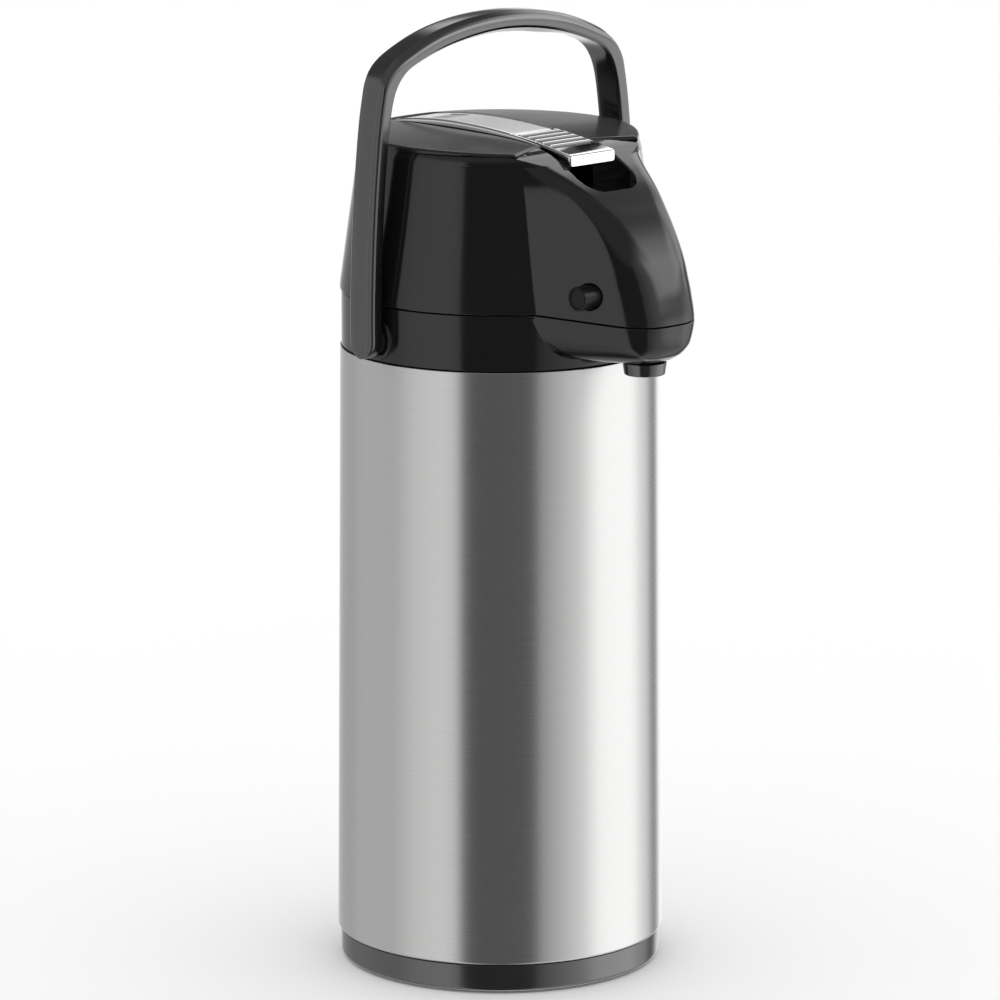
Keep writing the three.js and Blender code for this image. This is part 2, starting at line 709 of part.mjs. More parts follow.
// ---------------------------------------------------------------- lever
function makeLever() {
  const { halfWidth, frontY, backY, depth } = LEVER;
  const under = (depthBelow) => (y) => leverHeight(y) - depthBelow;
  const bar = curvedSlab(leverHeight, under(depth), frontY, backY, -halfWidth, halfWidth);
  const hollow = curvedSlab(
    under(2), under(depth + 2), frontY + 2.2, backY - 2, 2 - halfWidth, halfWidth - 2,
  );
  const ribs = [];
  for (let i = 0; i < 6; i++) {
    const y = -28 - i * 4.8;
    ribs.push(crossRod(1.1, -halfWidth + 1, halfWidth - 1, y, leverHeight(y) + 0.1, 8));
  }
  const hanger = join(
    block(-13, -9, LEVER_PIN.y - 4, LEVER_PIN.y + 4, LEVER_PIN.z, 424),
    block(9, 13, LEVER_PIN.y - 4, LEVER_PIN.y + 4, LEVER_PIN.z, 424),
    crossRod(4, -13, -9, LEVER_PIN.y, LEVER_PIN.z, 16),
    crossRod(4, 9, 13, LEVER_PIN.y, LEVER_PIN.z, 16),
  );
  const whole = join(cut(bar, hollow), hanger, ...ribs);
  return cut(whole, crossRod(LEVER_PIN.radius + 0.2, -24, 24, LEVER_PIN.y, LEVER_PIN.z));
}

const leverPresser = turned(
  [
    [0, 416.2],
    [6, 416.2],
    [8, 418],
    [8, 425],
    [0, 425],
  ],
  16,
  PUMP.y,
);

// ---------------------------------------------------------------- pump
// An accordion wall of even folds, open top and bottom.
function makeBellows() {
  const folds = 5;
  const pitch = (PUMP.high - PUMP.low) / folds;
  const outside = [];
  for (let i = 0; i < folds; i++) {
    outside.push([PUMP.radius - 7, PUMP.low + i * pitch]);
    outside.push([PUMP.radius, PUMP.low + (i + 0.5) * pitch]);
  }
  outside.push([PUMP.radius - 7, PUMP.high]);
  const inside = outside.map(([r, z]) => [r - 1.6, z]).reverse();
  return turned([...outside, ...inside], COARSE, PUMP.y);
}

const pumpBase = turned(
  [
    [5, 344],
    [PUMP.outletRadius - 1.5, 344],
    [PUMP.outletRadius, 346],
    [PUMP.outletRadius, 357.6],
    [PUMP.radius + 3, 357.6],
    [PUMP.radius + 3, PUMP.low - GAP],
    [5, PUMP.low - GAP],
  ],
  COARSE,
  PUMP.y,
);
const outletSeal = turned(
  [
    [8, 339.6],
    [PUMP.outletRadius - 2, 339.6],
    [PUMP.outletRadius - 2, 343.6],
    [8, 343.6],
  ],
  24,
  PUMP.y,
);
const outletValve = ring(0.8, 8, PUMP.low, PUMP.low + 1.2, 16, PUMP.y);

const pumpPlate = turned(
  [
    [2, PUMP.high + GAP],
    [PUMP.radius - 3, PUMP.high + GAP],
    [PUMP.radius - 3, PUMP.high + 3.4],
    [9, PUMP.high + 3.4],
    [9, 415.6],
    [2, 415.6],
  ],
  COARSE,
  PUMP.y,
);

const inletValve = ring(2.4, 7, PUMP.high - 1.2, PUMP.high, 16, PUMP.y);

// A round-wire coil spring; its wire follows a helix of even pitch.
class Helix extends THREE.Curve {
  constructor(centre, radius, low, high, turns, axis = "z") {
    super();
    Object.assign(this, { centre, radius, low, high, turns, axis });
  }
  getPoint(t, target = new THREE.Vector3()) {
    const angle = 2 * Math.PI * this.turns * t;
    const a = this.radius * Math.cos(angle);
    const b = this.radius * Math.sin(angle);
    const along = this.low + (this.high - this.low) * t;
    if (this.axis === "z") return target.set(this.centre[0] + a, this.centre[1] + b, along);
    return target.set(along, this.centre[0] + a, this.centre[1] + b);
  }
}
const pumpSpring = pipe(
  new Helix([0, PUMP.y], 14, PUMP.low + 3, PUMP.high - 3, 5), 1, 0, 50, 3,
);

// ---------------------------------------------------------------- inside of the lid
const innerPlate = cut(
  rod(wallRadius(346) - 4.4, 346.4, 349, 0, 0, FINE),
  rod(PUMP.outletRadius + 1, 340, 360, 0, PUMP.y),
  block(-9, 9, -100, PUMP.y - 2, 340, 360),
  ...PLATE_SCREWS.map(([x, y]) => rod(1.9, 340, 360, x, y, 12)),
);

// Posts that carry the pump on the inner plate's screws.
function plateScrew([x, y]) {
  return join(rod(3.4, 343.4, 346, x, y, 12), rod(1.5, 345.8, 356, x, y, 8));
}
function pumpBracket([x, y]) {
  const post = rod(4.4, 349.4, 357.2, x, y, 12);
  return cut(post, rod(1.9, 340, 356.6, x, y, 12));
}

// ---------------------------------------------------------------- lid release
// A round button on a flat latch arm whose foot reaches down beside the collar's catch. They are
// drawn on the right and mirrored, as the button is on the left side of the beak only.
const toLeft = (solid) => solid.mirror([1, 0, 0]);
const releaseButton = toLeft(join(
  crossRod(BUTTON.radius, BUTTON.seatX - 4, BUTTON.tipX, BUTTON.y, BUTTON.z, 24),
  crossRod(BUTTON.radius + 1.6, BUTTON.seatX - 5.4, BUTTON.seatX - 3.9, BUTTON.y, BUTTON.z, 24),
));
const armX = BUTTON.seatX - 5.8;
const latchArm = toLeft(join(
  block(armX - 2, armX, BUTTON.y - 4, BUTTON.y + 4, 334, BUTTON.z + 5),
  block(armX - 2, armX + 1.6, BUTTON.y - 4, BUTTON.y + 4, 334, 336.4),
));
const springPath = new Helix([BUTTON.y, BUTTON.z], 3.2, 8.6, BUTTON.seatX - 8.4, 4, "x");
const latchSpring = toLeft(pipe(springPath, 0.5, 0, 32, 3));

// ---------------------------------------------------------------- assembly
const airpot = new THREE.Group();
function place(name, made, material) {
  const mesh = new THREE.Mesh(geometryOf(made), material);
  mesh.name = name;
  airpot.add(mesh);
}

place("foot_ring", foot, MAT.rubber);
place("base_ring", baseRing, MAT.gloss);
place("bottom_cap", bottomCap, MAT.satin);
place("liner_cushion", linerCushion, MAT.rubber);
place("body_shell", bodyShell, MAT.steel);
place("shell_seal", shellSeal, MAT.rubber);
place("liner_outer", linerOuter, MAT.glass);
place("liner_inner", linerInner, MAT.glass);
place("neck_gasket", neckGasket, MAT.silicone);
place("collar", collar, MAT.gloss);
place("mouth_packing", mouthPacking, MAT.silicone);
place("dip_tube", dipTube, MAT.inner);
place("dip_tube_foot", tubeFoot, MAT.silicone);
place("spout_elbow", spoutElbow, MAT.inner);
place("nozzle", nozzle, MAT.gloss);
place("lid_hinge_pin", crossRod(HINGE.pin, -24.5, 24.5, HINGE.y, HINGE.z), MAT.spring);

place("handle", makeHandle(), MAT.gloss);
for (const [label, side] of [["left", -1], ["right", 1]]) {
  place(`handle_pin_${label}`, handlePin(side), MAT.satin);
  place(`pivot_washer_${label}`, pivotWasher(side), MAT.satin);
}

place("lid_shell", makeLidShell(), MAT.gloss);
place("top_cover", makeTopCover(), MAT.satin);
place("lid_inner_plate", innerPlate, MAT.satin);
place("lever_pin", crossRod(LEVER_PIN.radius, -20.4, 20.4, LEVER_PIN.y, LEVER_PIN.z), MAT.spring);
place("pump_base", pumpBase, MAT.inner);
place("outlet_seal", outletSeal, MAT.silicone);
place("outlet_valve", outletValve, MAT.silicone);
place("pump_bellows", makeBellows(), MAT.inner);
place("pump_spring", pumpSpring, MAT.spring);
PLATE_SCREWS.forEach((at, i) => {
  place(`plate_screw_${i + 1}`, plateScrew(at), MAT.spring);
  place(`plate_post_${i + 1}`, pumpBracket(at), MAT.satin);
});

place("lever", makeLever(), MAT.chrome);
place("lever_presser", leverPresser, MAT.satin);
place("pump_plate", pumpPlate, MAT.inner);
place("inlet_valve", inletValve, MAT.silicone);

place("release_button", releaseButton, MAT.gloss);
place("latch_arm", latchArm, MAT.satin);
place("latch_spring", latchSpring, MAT.spring);

export default airpot;
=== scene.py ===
"""Visual model of a lever-action thermal airpot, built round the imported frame.
Lengths in the helpers are millimetres; every mesh is written in metres."""
import json
import math

import bpy
import numpy as np
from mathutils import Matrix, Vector
from mathutils.bvhtree import BVHTree


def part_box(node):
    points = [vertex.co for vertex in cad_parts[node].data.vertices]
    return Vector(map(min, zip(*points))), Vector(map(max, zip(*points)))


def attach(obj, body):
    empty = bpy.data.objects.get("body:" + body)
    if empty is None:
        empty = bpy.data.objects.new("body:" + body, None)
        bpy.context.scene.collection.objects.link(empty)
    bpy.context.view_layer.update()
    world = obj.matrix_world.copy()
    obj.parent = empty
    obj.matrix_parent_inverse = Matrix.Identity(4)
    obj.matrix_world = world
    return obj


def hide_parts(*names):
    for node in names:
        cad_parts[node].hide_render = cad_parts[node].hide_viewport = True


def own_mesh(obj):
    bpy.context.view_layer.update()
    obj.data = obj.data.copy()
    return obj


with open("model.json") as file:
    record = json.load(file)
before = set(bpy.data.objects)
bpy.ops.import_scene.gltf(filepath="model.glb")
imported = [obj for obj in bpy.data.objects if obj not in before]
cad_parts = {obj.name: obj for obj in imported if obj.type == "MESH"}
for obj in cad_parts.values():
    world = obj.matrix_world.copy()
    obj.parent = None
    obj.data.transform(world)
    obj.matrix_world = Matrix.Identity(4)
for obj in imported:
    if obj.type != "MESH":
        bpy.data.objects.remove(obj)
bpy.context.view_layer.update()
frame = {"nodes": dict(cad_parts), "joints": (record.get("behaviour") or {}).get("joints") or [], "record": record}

MM = 0.001
ROUND = 192  # facets round the outside

# ------------------------------------------------------------------ places taken from the frame


def span(node):
    """The node's box in millimetres: (lowest corner, highest corner)."""
    low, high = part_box(node)
    return np.array(low) / MM, np.array(high) / MM


SHELL_LOW, SHELL_HIGH = span("body_shell")
BASE_LOW, BASE_HIGH = span("base_ring")
COLLAR_LOW = span("collar")[0]
LEVER_LOW, LEVER_HIGH = span("lever")
COVER_LOW, COVER_HIGH = span("top_cover")
HANDLE_LOW, HANDLE_HIGH = span("handle")
NOZZLE_LOW, NOZZLE_HIGH = span("nozzle")
BUTTON_LOW, BUTTON_HIGH = span("release_button")
BELLOWS_LOW, BELLOWS_HIGH = span("pump_bellows")
FOOT_HIGH = span("foot_ring")[1]

# ------------------------------------------------------------------ mesh helpers


def new_object(name, verts, faces, sharp=38):
    mesh = bpy.data.meshes.new(name)
    mesh.from_pydata([tuple(v) for v in np.asarray(verts, float) * MM], [], faces)
    mesh.validate()
    mesh.update()
    mesh.shade_smooth()
    mesh.set_sharp_from_angle(angle=math.radians(sharp))
    obj = bpy.data.objects.new(name, mesh)
    bpy.context.scene.collection.objects.link(obj)
    return obj


def grid(rows, wrap_rows=False, wrap_columns=True, cap_first=False, cap_last=False):
    """Vertices and faces of a grid of equal rows of points; caps are fans of one n-gon."""
    rows = np.asarray(rows, float)
    count, width = rows.shape[:2]
    verts = rows.reshape(-1, 3)
    faces = []
    for k in range(count if wrap_rows else count - 1):
        a, b = k * width, ((k + 1) % count) * width
        for i in range(width if wrap_columns else width - 1):
            j = (i + 1) % width
            faces.append((a + i, a + j, b + j, b + i))
    if cap_first:
        faces.append(tuple(range(width - 1, -1, -1)))
    if cap_last:
        faces.append(tuple((count - 1) * width + i for i in range(width)))
    return verts, faces


def rounded(points, radii, steps=5, support=0.35):
    """A closed outline with its corners rounded, and a point kept close by on each straight side."""
    points = [np.array(p, float) for p in points]
    out = []
    for i, p in enumerate(points):
        radius = radii[i] if isinstance(radii, (list, tuple)) else radii
        before, after = points[i - 1] - p, points[(i + 1) % len(points)] - p
        la, lb = np.linalg.norm(before), np.linalg.norm(after)
        a, b = before / la, after / lb
        half = math.acos(np.clip(a @ b, -1, 1)) / 2
        if radius <= 0 or half > math.radians(88):
            out.append(p)
            continue
        reach = min(radius / math.tan(half), la * 0.45, lb * 0.45)
        radius = reach * math.tan(half)
        centre = p + (a + b) / np.linalg.norm(a + b) * radius / math.sin(half)
        start, end = p + a * reach - centre, p + b * reach - centre
        if support and la * 0.5 > reach + support:
            out.append(p + a * (reach + support))
        turn = math.atan2(start[0] * end[1] - start[1] * end[0], start @ end)
        for k in range(steps + 1):
            angle = turn * k / steps
            c, s = math.cos(angle), math.sin(angle)
            out.append(centre + np.array([start[0] * c - start[1] * s, start[0] * s + start[1] * c]))
        if support and lb * 0.5 > reach + support:
            out.append(p + b * (reach + support))
    return out


def revolve(name, outline, segments=ROUND, centre=(0, 0), sharp=38):
    """A solid of revolution from a closed [radius, height] outline that stays off the axis."""
    rows = []
    outline = np.asarray(outline, float)
    angles = np.arange(segments) / segments * 2 * math.pi
    for radius, height in outline:
        ring = np.c_[radius * np.cos(angles), radius * np.sin(angles), np.full(segments, height)]
        rows.append(ring + np.array([*centre, 0]))
    verts, faces = grid(rows, wrap_rows=True)
    obj = new_object(name, verts, faces, sharp)
    face_out(obj)
    return obj


def face_out(obj):
    """Turns a closed mesh inside out if its volume is negative."""
    mesh = obj.data
    mesh.calc_loop_triangles()
    points = np.empty(len(mesh.vertices) * 3)
    mesh.vertices.foreach_get("co", points)
    points = points.reshape(-1, 3)
    corners = np.array([t.vertices[:] for t in mesh.loop_triangles])
    a, b, c = (points[corners[:, k]] for k in range(3))
    if np.einsum("ij,ij->i", a, np.cross(b, c)).sum() < 0:
        mesh.flip_normals()


def boolean(target, tool, operation="DIFFERENCE", sharp=38):
    face_out(tool)
    cut = target.modifiers.new("cut", "BOOLEAN")
    cut.operation, cut.solver, cut.object = operation, "MANIFOLD", tool
    bpy.context.view_layer.update()
    evaluated = target.evaluated_get(bpy.context.evaluated_depsgraph_get())
    mesh = bpy.data.meshes.new_from_object(evaluated)
    target.modifiers.clear()
    old, target.data = target.data, mesh
    bpy.data.meshes.remove(old)
    bpy.data.objects.remove(tool)
    mesh.shade_smooth()
    mesh.set_sharp_from_angle(angle=math.radians(sharp))
    mesh.name = target.name
    return target


def weighted(obj):
    """Large faces stay flat beside small rounded edges."""
    even = obj.modifiers.new("even", "WEIGHTED_NORMAL")
    even.keep_sharp = True
    even.weight = 80


def box_tool(low, high):
    (ax, ay, az), (bx, by, bz) = low, high
    rows = [[(ax, ay, z), (bx, ay, z), (bx, by, z), (ax, by, z)] for z in (az, bz)]
    return new_object("tool", *grid(rows, cap_first=True, cap_last=True))


def rod_tool(radius, start, end, centre, along="Z", segments=96):
    angles = np.arange(segments) / segments * 2 * math.pi
    rows = []
    for height in (start, end):
        ring = np.c_[radius * np.cos(angles), radius * np.sin(angles), np.full(segments, height)]
        rows.append((ring[:, [2, 0, 1]] + np.array([0, *centre])) if along == "X"
                    else ring + np.array([*centre, 0]))
    return new_object("tool", *grid(rows, cap_first=True, cap_last=True))


def offset_loop(loop, distance):
    """A closed plan loop moved inwards by a distance (outwards when negative)."""
    loop = np.asarray(loop, float)
    ahead, behind = np.roll(loop, -1, 0) - loop, loop - np.roll(loop, 1, 0)
    area = np.sum(loop[:, 0] * np.roll(loop[:, 1], -1) - loop[:, 1] * np.roll(loop[:, 0], -1))
    unit = [v / np.maximum(np.linalg.norm(v, axis=1), 1e-9)[:, None] for v in (behind, ahead)]
    normal = np.c_[-(unit[0] + unit[1])[:, 1], (unit[0] + unit[1])[:, 0]]
    normal /= np.maximum(np.linalg.norm(normal, axis=1), 1e-9)[:, None]
    share = np.abs(-normal[:, 0] * unit[0][:, 1] + normal[:, 1] * unit[0][:, 0])
    return loop + math.copysign(1, area) * distance * normal / np.maximum(share, 0.6)[:, None]


def spline(points, count):
    """A smooth curve through points, resampled evenly by control point (centripetal Catmull-Rom)."""
    p = np.asarray(points, float)
    p = np.vstack([2 * p[0] - p[1], p, 2 * p[-1] - p[-2]])
    out = []
    for s in np.linspace(0, len(p) - 3 - 1e-9, count):
        i = int(s)
        a, b, c, d = p[i:i + 4]
        t = [0]
        for u, v in ((a, b), (b, c), (c, d)):
            t.append(t[-1] + max(np.linalg.norm(v - u), 1e-6) ** 0.5)
        x = t[1] + (s - i) * (t[2] - t[1])
        mix = lambda u, v, m, n: u + (v - u) * (x - m) / (n - m)
        ab, bc, cd = mix(a, b, t[0], t[1]), mix(b, c, t[1], t[2]), mix(c, d, t[2], t[3])
        out.append(mix(mix(ab, bc, t[0], t[2]), mix(bc, cd, t[1], t[3]), t[1], t[2]))
    return np.array(out)


def smooth(low, high, value):
    t = np.clip((np.asarray(value, float) - low) / (high - low), 0, 1)
    return t * t * (3 - 2 * t)


# ------------------------------------------------------------------ materials


class Shader:
    """A small builder for one node material."""

    def __init__(self, name, **sockets):
        self.material = bpy.data.materials.new(name)
        self.material.use_nodes = True
        self.tree = self.material.node_tree
        self.shader = self.tree.nodes["Principled BSDF"]
        for key, value in sockets.items():
            self.shader.inputs[key.replace("_", " ")].default_value = value

    def node(self, kind, **inputs):
        made = self.tree.nodes.new("ShaderNode" + kind)
        for key, value in inputs.items():
            if hasattr(made, key):
                setattr(made, key, value)
            else:
                made.inputs[key.replace("_", " ")].default_value = value
        return made

    def link(self, source, output, target, socket):
        self.tree.links.new(source.outputs[output], target.inputs[socket])

    def coordinates(self, scale=(1, 1, 1)):
        place = self.node("TexCoord")
        mapping = self.node("Mapping")
        mapping.inputs["Scale"].default_value = scale
        self.link(place, "Object", mapping, "Vector")
        return mapping

    def noise(self, scale, detail=3.0, roughness=0.5, stretch=(1, 1, 1)):
        made = self.node("TexNoise", Scale=scale, Detail=detail, Roughness=roughness)
        self.link(self.coordinates(stretch), "Vector", made, "Vector")
        return made

    def spread(self, source, output, low, high, low_in=0.3, high_in=0.7):
        made = self.node("MapRange")
        for key, value in (("From Min", low_in), ("From Max", high_in), ("To Min", low), ("To Max", high)):
            made.inputs[key].default_value = value
        self.link(source, output, made, "Value")
        return made

    def roughness(self, source, output, low, high):
        self.link(self.spread(source, output, low, high), "Result", self.shader, "Roughness")

    def tint(self, source, output, low, high):
        made = self.node("Mix", data_type="RGBA")
        for a, b in (("A", low), ("B", high)):
            for socket in made.inputs:
                if socket.name == a and socket.type == "RGBA":
                    socket.default_value = (*b, 1)
        self.tree.links.new(source.outputs[output], made.inputs[0])
        result = next(o for o in made.outputs if o.type == "RGBA")
        self.tree.links.new(result, self.shader.inputs["Base Color"])

    def bump(self, source, output, distance, strength=1.0):
        made = self.node("Bump")
        made.inputs["Distance"].default_value = distance
        made.inputs["Strength"].default_value = strength
        self.link(source, output, made, "Height")
        self.link(made, "Normal", self.shader, "Normal")


def moulded(name, dark, light, rough, grain, depth, scale=900, specular=0.5):
    """Moulded plastic or rubber: a faint cloud in its colour and gloss, and a fine grain."""
    made = Shader(name, Specular_IOR_Level=specular)
    cloud = made.noise(26, 4, 0.55)
    made.tint(cloud, "Fac", dark, light)
    made.roughness(cloud, "Fac", *rough)
    fine = made.noise(scale, 2, 0.6)
    made.bump(fine, "Fac", depth, grain)
    return made.material


def gloss_black(name, ior, rough, wave):
    """Polished black plastic: nearly clean, with hazy patches and a barely wavy skin."""
    made = Shader(name, IOR=ior, Specular_IOR_Level=0.5)
    haze = made.noise(18, 5, 0.6)
    made.tint(haze, "Fac", (0.0035, 0.0035, 0.004), (0.0065, 0.0065, 0.007))
    made.roughness(haze, "Fac", *rough)
    skin = made.noise(160, 2, 0.5)
    made.bump(skin, "Fac", wave, 0.25)
    return made.material


def brushed_steel():
    """Stainless sheet brushed round the body: hair lines that run round it, stretched glints up it."""
    made = Shader("body_steel", Metallic=1.0, Anisotropic=0.8, Anisotropic_Rotation=0.25)
    tangent = made.node("Tangent", direction_type="RADIAL", axis="Z")
    made.link(tangent, "Tangent", made.shader, "Tangent")
    place = made.node("TexCoord")
    split = made.node("SeparateXYZ")
    made.link(place, "Object", split, "Vector")
    turn = made.node("Math", operation="ARCTAN2")
    made.link(split, "X", turn, 0)
    made.link(split, "Y", turn, 1)
    merge = made.node("CombineXYZ")
    made.link(turn, "Value", merge, "X")
    made.link(split, "Z", merge, "Y")

    def streaks(around, up, detail):
        mapping = made.node("Mapping")
        mapping.inputs["Scale"].default_value = (around, up, 1)
        made.link(merge, "Vector", mapping, "Vector")
        lines = made.node("TexNoise", Scale=1.0, Detail=detail, Roughness=0.65)
        made.link(mapping, "Vector", lines, "Vector")
        return lines

    fine, broad = streaks(1.3, 5200, 3), streaks(0.6, 1500, 2)
    made.tint(broad, "Fac", (0.615, 0.615, 0.61), (0.65, 0.65, 0.645))
    made.roughness(fine, "Fac", 0.25, 0.33)
    made.bump(fine, "Fac", 0.00002, 0.07)
    return made.material


def metal(name, colour, rough, scale=60, stretch=(1, 1, 1)):
    made = Shader(name, Metallic=1.0)
    cloud = made.noise(scale, 4, 0.6, stretch)
    made.tint(cloud, "Fac", tuple(c * 0.93 for c in colour), colour)
    made.roughness(cloud, "Fac", *rough)
    return made.material


STEEL = brushed_steel()
GLOSS = gloss_black("gloss_black", 1.55, (0.08, 0.14), 0.00002)
BAIL = gloss_black("bail_black", 2.1, (0.12, 0.18), 0.00001)
BASE = gloss_black("base_black", 2.2, (0.16, 0.24), 0.00001)
CAP = gloss_black("button_black", 1.33, (0.22, 0.3), 0.00001)
SATIN = moulded("satin_black", (0.010, 0.010, 0.011), (0.016, 0.016, 0.017), (0.30, 0.42), 0.3, 0.00004)
COVER = moulded("cover_black", (0.007, 0.007, 0.008), (0.011, 0.011, 0.012), (0.16, 0.24), 0.15, 0.00002)
WHITE = moulded("white_plastic", (0.72, 0.71, 0.67), (0.80, 0.79, 0.76), (0.34, 0.48), 0.2, 0.00004)
CHROME = metal("chrome", (0.86, 0.87, 0.88), (0.05, 0.11), 34)
PANEL = metal("satin_chrome", (0.84, 0.845, 0.85), (0.26, 0.36), 420, (9, 0.35, 1))
# A dark chrome for the rib valleys and the groove beside the satin panel: painted shade where the ribs and the
# groove walls keep the light out.
GROOVE_SHADE = metal("groove_painted_shade", (0.13, 0.13, 0.135), (0.30, 0.42), 420)
INLAY = metal("inlay_grey", (0.40, 0.40, 0.41), (0.30, 0.40), 420, (9, 0.35, 1))
RUBBER = moulded("rubber", (0.012, 0.012, 0.012), (0.024, 0.024, 0.024), (0.62, 0.8), 0.6, 0.00008, 500, 0.3)
SILICONE = moulded("silicone", (0.66, 0.64, 0.60), (0.76, 0.74, 0.70), (0.42, 0.55), 0.3, 0.00005, 600, 0.4)
MIRROR = metal("silvered_glass", (0.80, 0.82, 0.83), (0.03, 0.08), 22)
WIRE = metal("steel_wire", (0.56, 0.56, 0.57), (0.24, 0.36), 300, (1, 1, 6))

BY_SLOT = {
    "body_steel": STEEL, "gloss_black": GLOSS, "satin_black": SATIN, "white_plastic": WHITE,
    "chrome": CHROME, "rubber": RUBBER, "silicone": SILICONE, "silvered_glass": MIRROR,
    "steel_wire": WIRE,
}
for part in frame["record"]["subparts"]:
    cad = frame["nodes"][part["node"]]
    cad.data.materials.clear()
    cad.data.materials.append(BY_SLOT[part["material_slot"]])


def finish_piece(obj, body, slot, material, *nodes):
    obj.data.materials.clear()
    obj.data.materials.append(material)
    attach(obj, body)
    if nodes:
        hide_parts(*nodes)
    return obj


# ------------------------------------------------------------------ base and body


def make_base():
    outer, low, high = BASE_HIGH[0], BASE_LOW[2], SHELL_LOW[2] - 0.5
    top, foot, neck = BASE_HIGH[2], FOOT_HIGH[0] + 0.4, BASE_HIGH[0] - 3.2
    outline = [
        (foot - 6.4, 3.6), (foot, 3.6), (foot, low), (outer - 0.2, low), (outer, high),
        (neck, high), (neck, top), (neck - 2.4, top), (neck - 2.4, 11), (52, 11), (52, 7), (foot - 6.4, 7),
    ]
    radii = [0.4, 0.3, 0.5, 2.0, 0.6, 0.2, 0.4, 0.4, 0.8, 0.6, 0.6, 0.6]
    ring = revolve("base_ring_v", rounded(outline, radii))
    finish_piece(ring, "vessel", "gloss_black", BASE, "base_ring")
    inner = FOOT_HIGH[0] - 5
    foot_outline = rounded([(inner, 0), (inner + 5, 0), (inner + 5, 3.2), (inner, 3.2)], 0.7)
    pad = revolve("foot_ring_v", foot_outline)
    finish_piece(pad, "vessel", "rubber", RUBBER, "foot_ring")


def make_shell():
    low, high = SHELL_LOW[2], SHELL_HIGH[2]
    wide, narrow, wall = SHELL_HIGH[0], SHELL_HIGH[0] - 2.6, 0.8
    outline = [
        (wide - 3.4, low), (wide - 0.1, low), (narrow, high), (narrow - wall, high),
        (wide - 0.1 - wall, low + wall), (wide - 3.4, low + wall),
    ]
    skin = revolve("body_shell_v", rounded(outline, [0.2, 2.6, 0.3, 0.2, 1.9, 0.2], steps=8))
    finish_piece(skin, "vessel", "body_steel", STEEL, "body_shell")


make_base()
make_shell()

# ------------------------------------------------------------------ head and beak sections
# Beak stations: height, forward reach, half-width of the front corner, half-width where the side
# leaves the round wall, and length of the corner's curve.
BEAK = np.array([
    (321.6, 113, 8, 27, 9), (323.2, 116.8, 11, 30.5, 11), (327, 121, 14.5, 34.5, 14),
    (334, 123.8, 17.8, 38.5, 18), (344, 125, 19.5, 41.3, 20), (356, 122.6, 19.8, 41.5, 18.5),
    (368, 117.9, 20.2, 41.4, 16), (380, 110, 20.8, 41.3, 12.5), (392, 99.8, 22.2, 41.2, 9.5),
    (402, 88.2, 25.3, 41, 7.5), (411, 74, 29, 41, 6), (416.2, 64.5, 32.2, 41, 5.5),
    (420.3, 56.5, 35.5, 41, 5), (422.3, 50, 38.5, 41, 5),
])
SEAM = 344.5
SEAM_DROP, SEAM_BREAK, SEAM_TIP = 2.9, -69.0, -130.0


def station(z):
    """Reach, corner, side and softness of the beak at height z, without overshoot."""
    heights, values = BEAK[:, 0], BEAK[:, 1:]
    z = float(np.clip(z, heights[0], heights[-1]))
    k = int(np.clip(np.searchsorted(heights, z, side="right") - 1, 0, len(heights) - 2))
    slopes = np.diff(values, axis=0) / np.diff(heights)[:, None]

    def tangent(i):
        if i in (0, len(heights) - 1):
            return slopes[0 if i == 0 else -1]
        a, b = slopes[i - 1], slopes[i]
        return np.where(a * b <= 0, 0, 2 * a * b / np.where(a + b == 0, 1, a + b))

    step = heights[k + 1] - heights[k]
    t = (z - heights[k]) / step
    return ((2 * t**3 - 3 * t**2 + 1) * values[k] + (t**3 - 2 * t**2 + t) * step * tangent(k)
            + (3 * t**2 - 2 * t**3) * values[k + 1] + (t**3 - t**2) * step * tangent(k + 1))


def wall_radius(z):
    return 80.3 - 0.138 * max(0.0, z - 347)


def corner_curve(back, corner, along, count):
    t = np.linspace(0, 1, count + 1)[:, None]
    return (1 - t) ** 2 * back + 2 * t * (1 - t) * corner + t**2 * along


def flank(start, corner, soft, side, curve, front):
    """From the wall along the side of the beak, round its corner, to the middle of the front."""
    length = np.linalg.norm(start - corner)
    soft = min(soft, 0.85 * length, 0.85 * corner[0])
    back = corner + (start - corner) * soft / max(length, 1e-6)
    along = corner - np.array([soft, 0])
    t = (np.arange(side) / side)[:, None]
    ahead = (np.arange(1, front + 1) / front)[:, None]
    return np.vstack([
        start + (back - start) * t,
        corner_curve(back, corner, along, curve),
        np.c_[along[0] * (1 - ahead), np.full_like(ahead, corner[1])],
    ])


def roll(z):
    """How far the head's skin has rolled inwards at height z, near its top edge."""
    return 1.5 * max(0.0, (z - 415.5) / 6.8) ** 2


def head_loop(z, arc=88, side=16, curve=20, front=7):
    """The head at height z: the round wall with the beak growing out of it."""
    radius = wall_radius(z)
    reach, corner_x, side_x, soft = station(z)
    corner = np.array([corner_x, -reach])
    start = np.array([side_x, -math.sqrt(radius**2 - side_x**2)])
    if np.linalg.norm(corner) <= radius + 1:
        x = math.sqrt(max(radius**2 - reach**2, 0))
        start = np.array([x + 0.4, -math.sqrt(radius**2 - (x + 0.4) ** 2)])
        corner = np.array([x, -reach])
    end = math.atan2(start[0], -start[1])
    angles = math.pi - np.arange(arc) / arc * (math.pi - end)
    half = np.vstack([
        np.c_[radius * np.sin(angles), -radius * np.cos(angles)],
        flank(start, corner, soft, side, curve, front),
    ])
    half[0, 0] = 0
    left = half[1:-1].copy()
    left[:, 0] *= -1
    return np.vstack([half, left[::-1]])


def beak_loop(z, back=-60.0):
    """The beak alone at height z, cut off square inside the collar."""
    reach, corner_x, side_x, soft = station(z)
    corner = np.array([corner_x, -reach])
    slope = (side_x - corner_x) / (corner[1] - SEAM_BREAK)
    start = np.array([side_x + slope * (SEAM_BREAK - back), back])
    half = flank(start, corner, soft, 26, 22, 8)
    left = half[:-1].copy()
    left[:, 0] *= -1
    return np.vstack([half, left[::-1]])


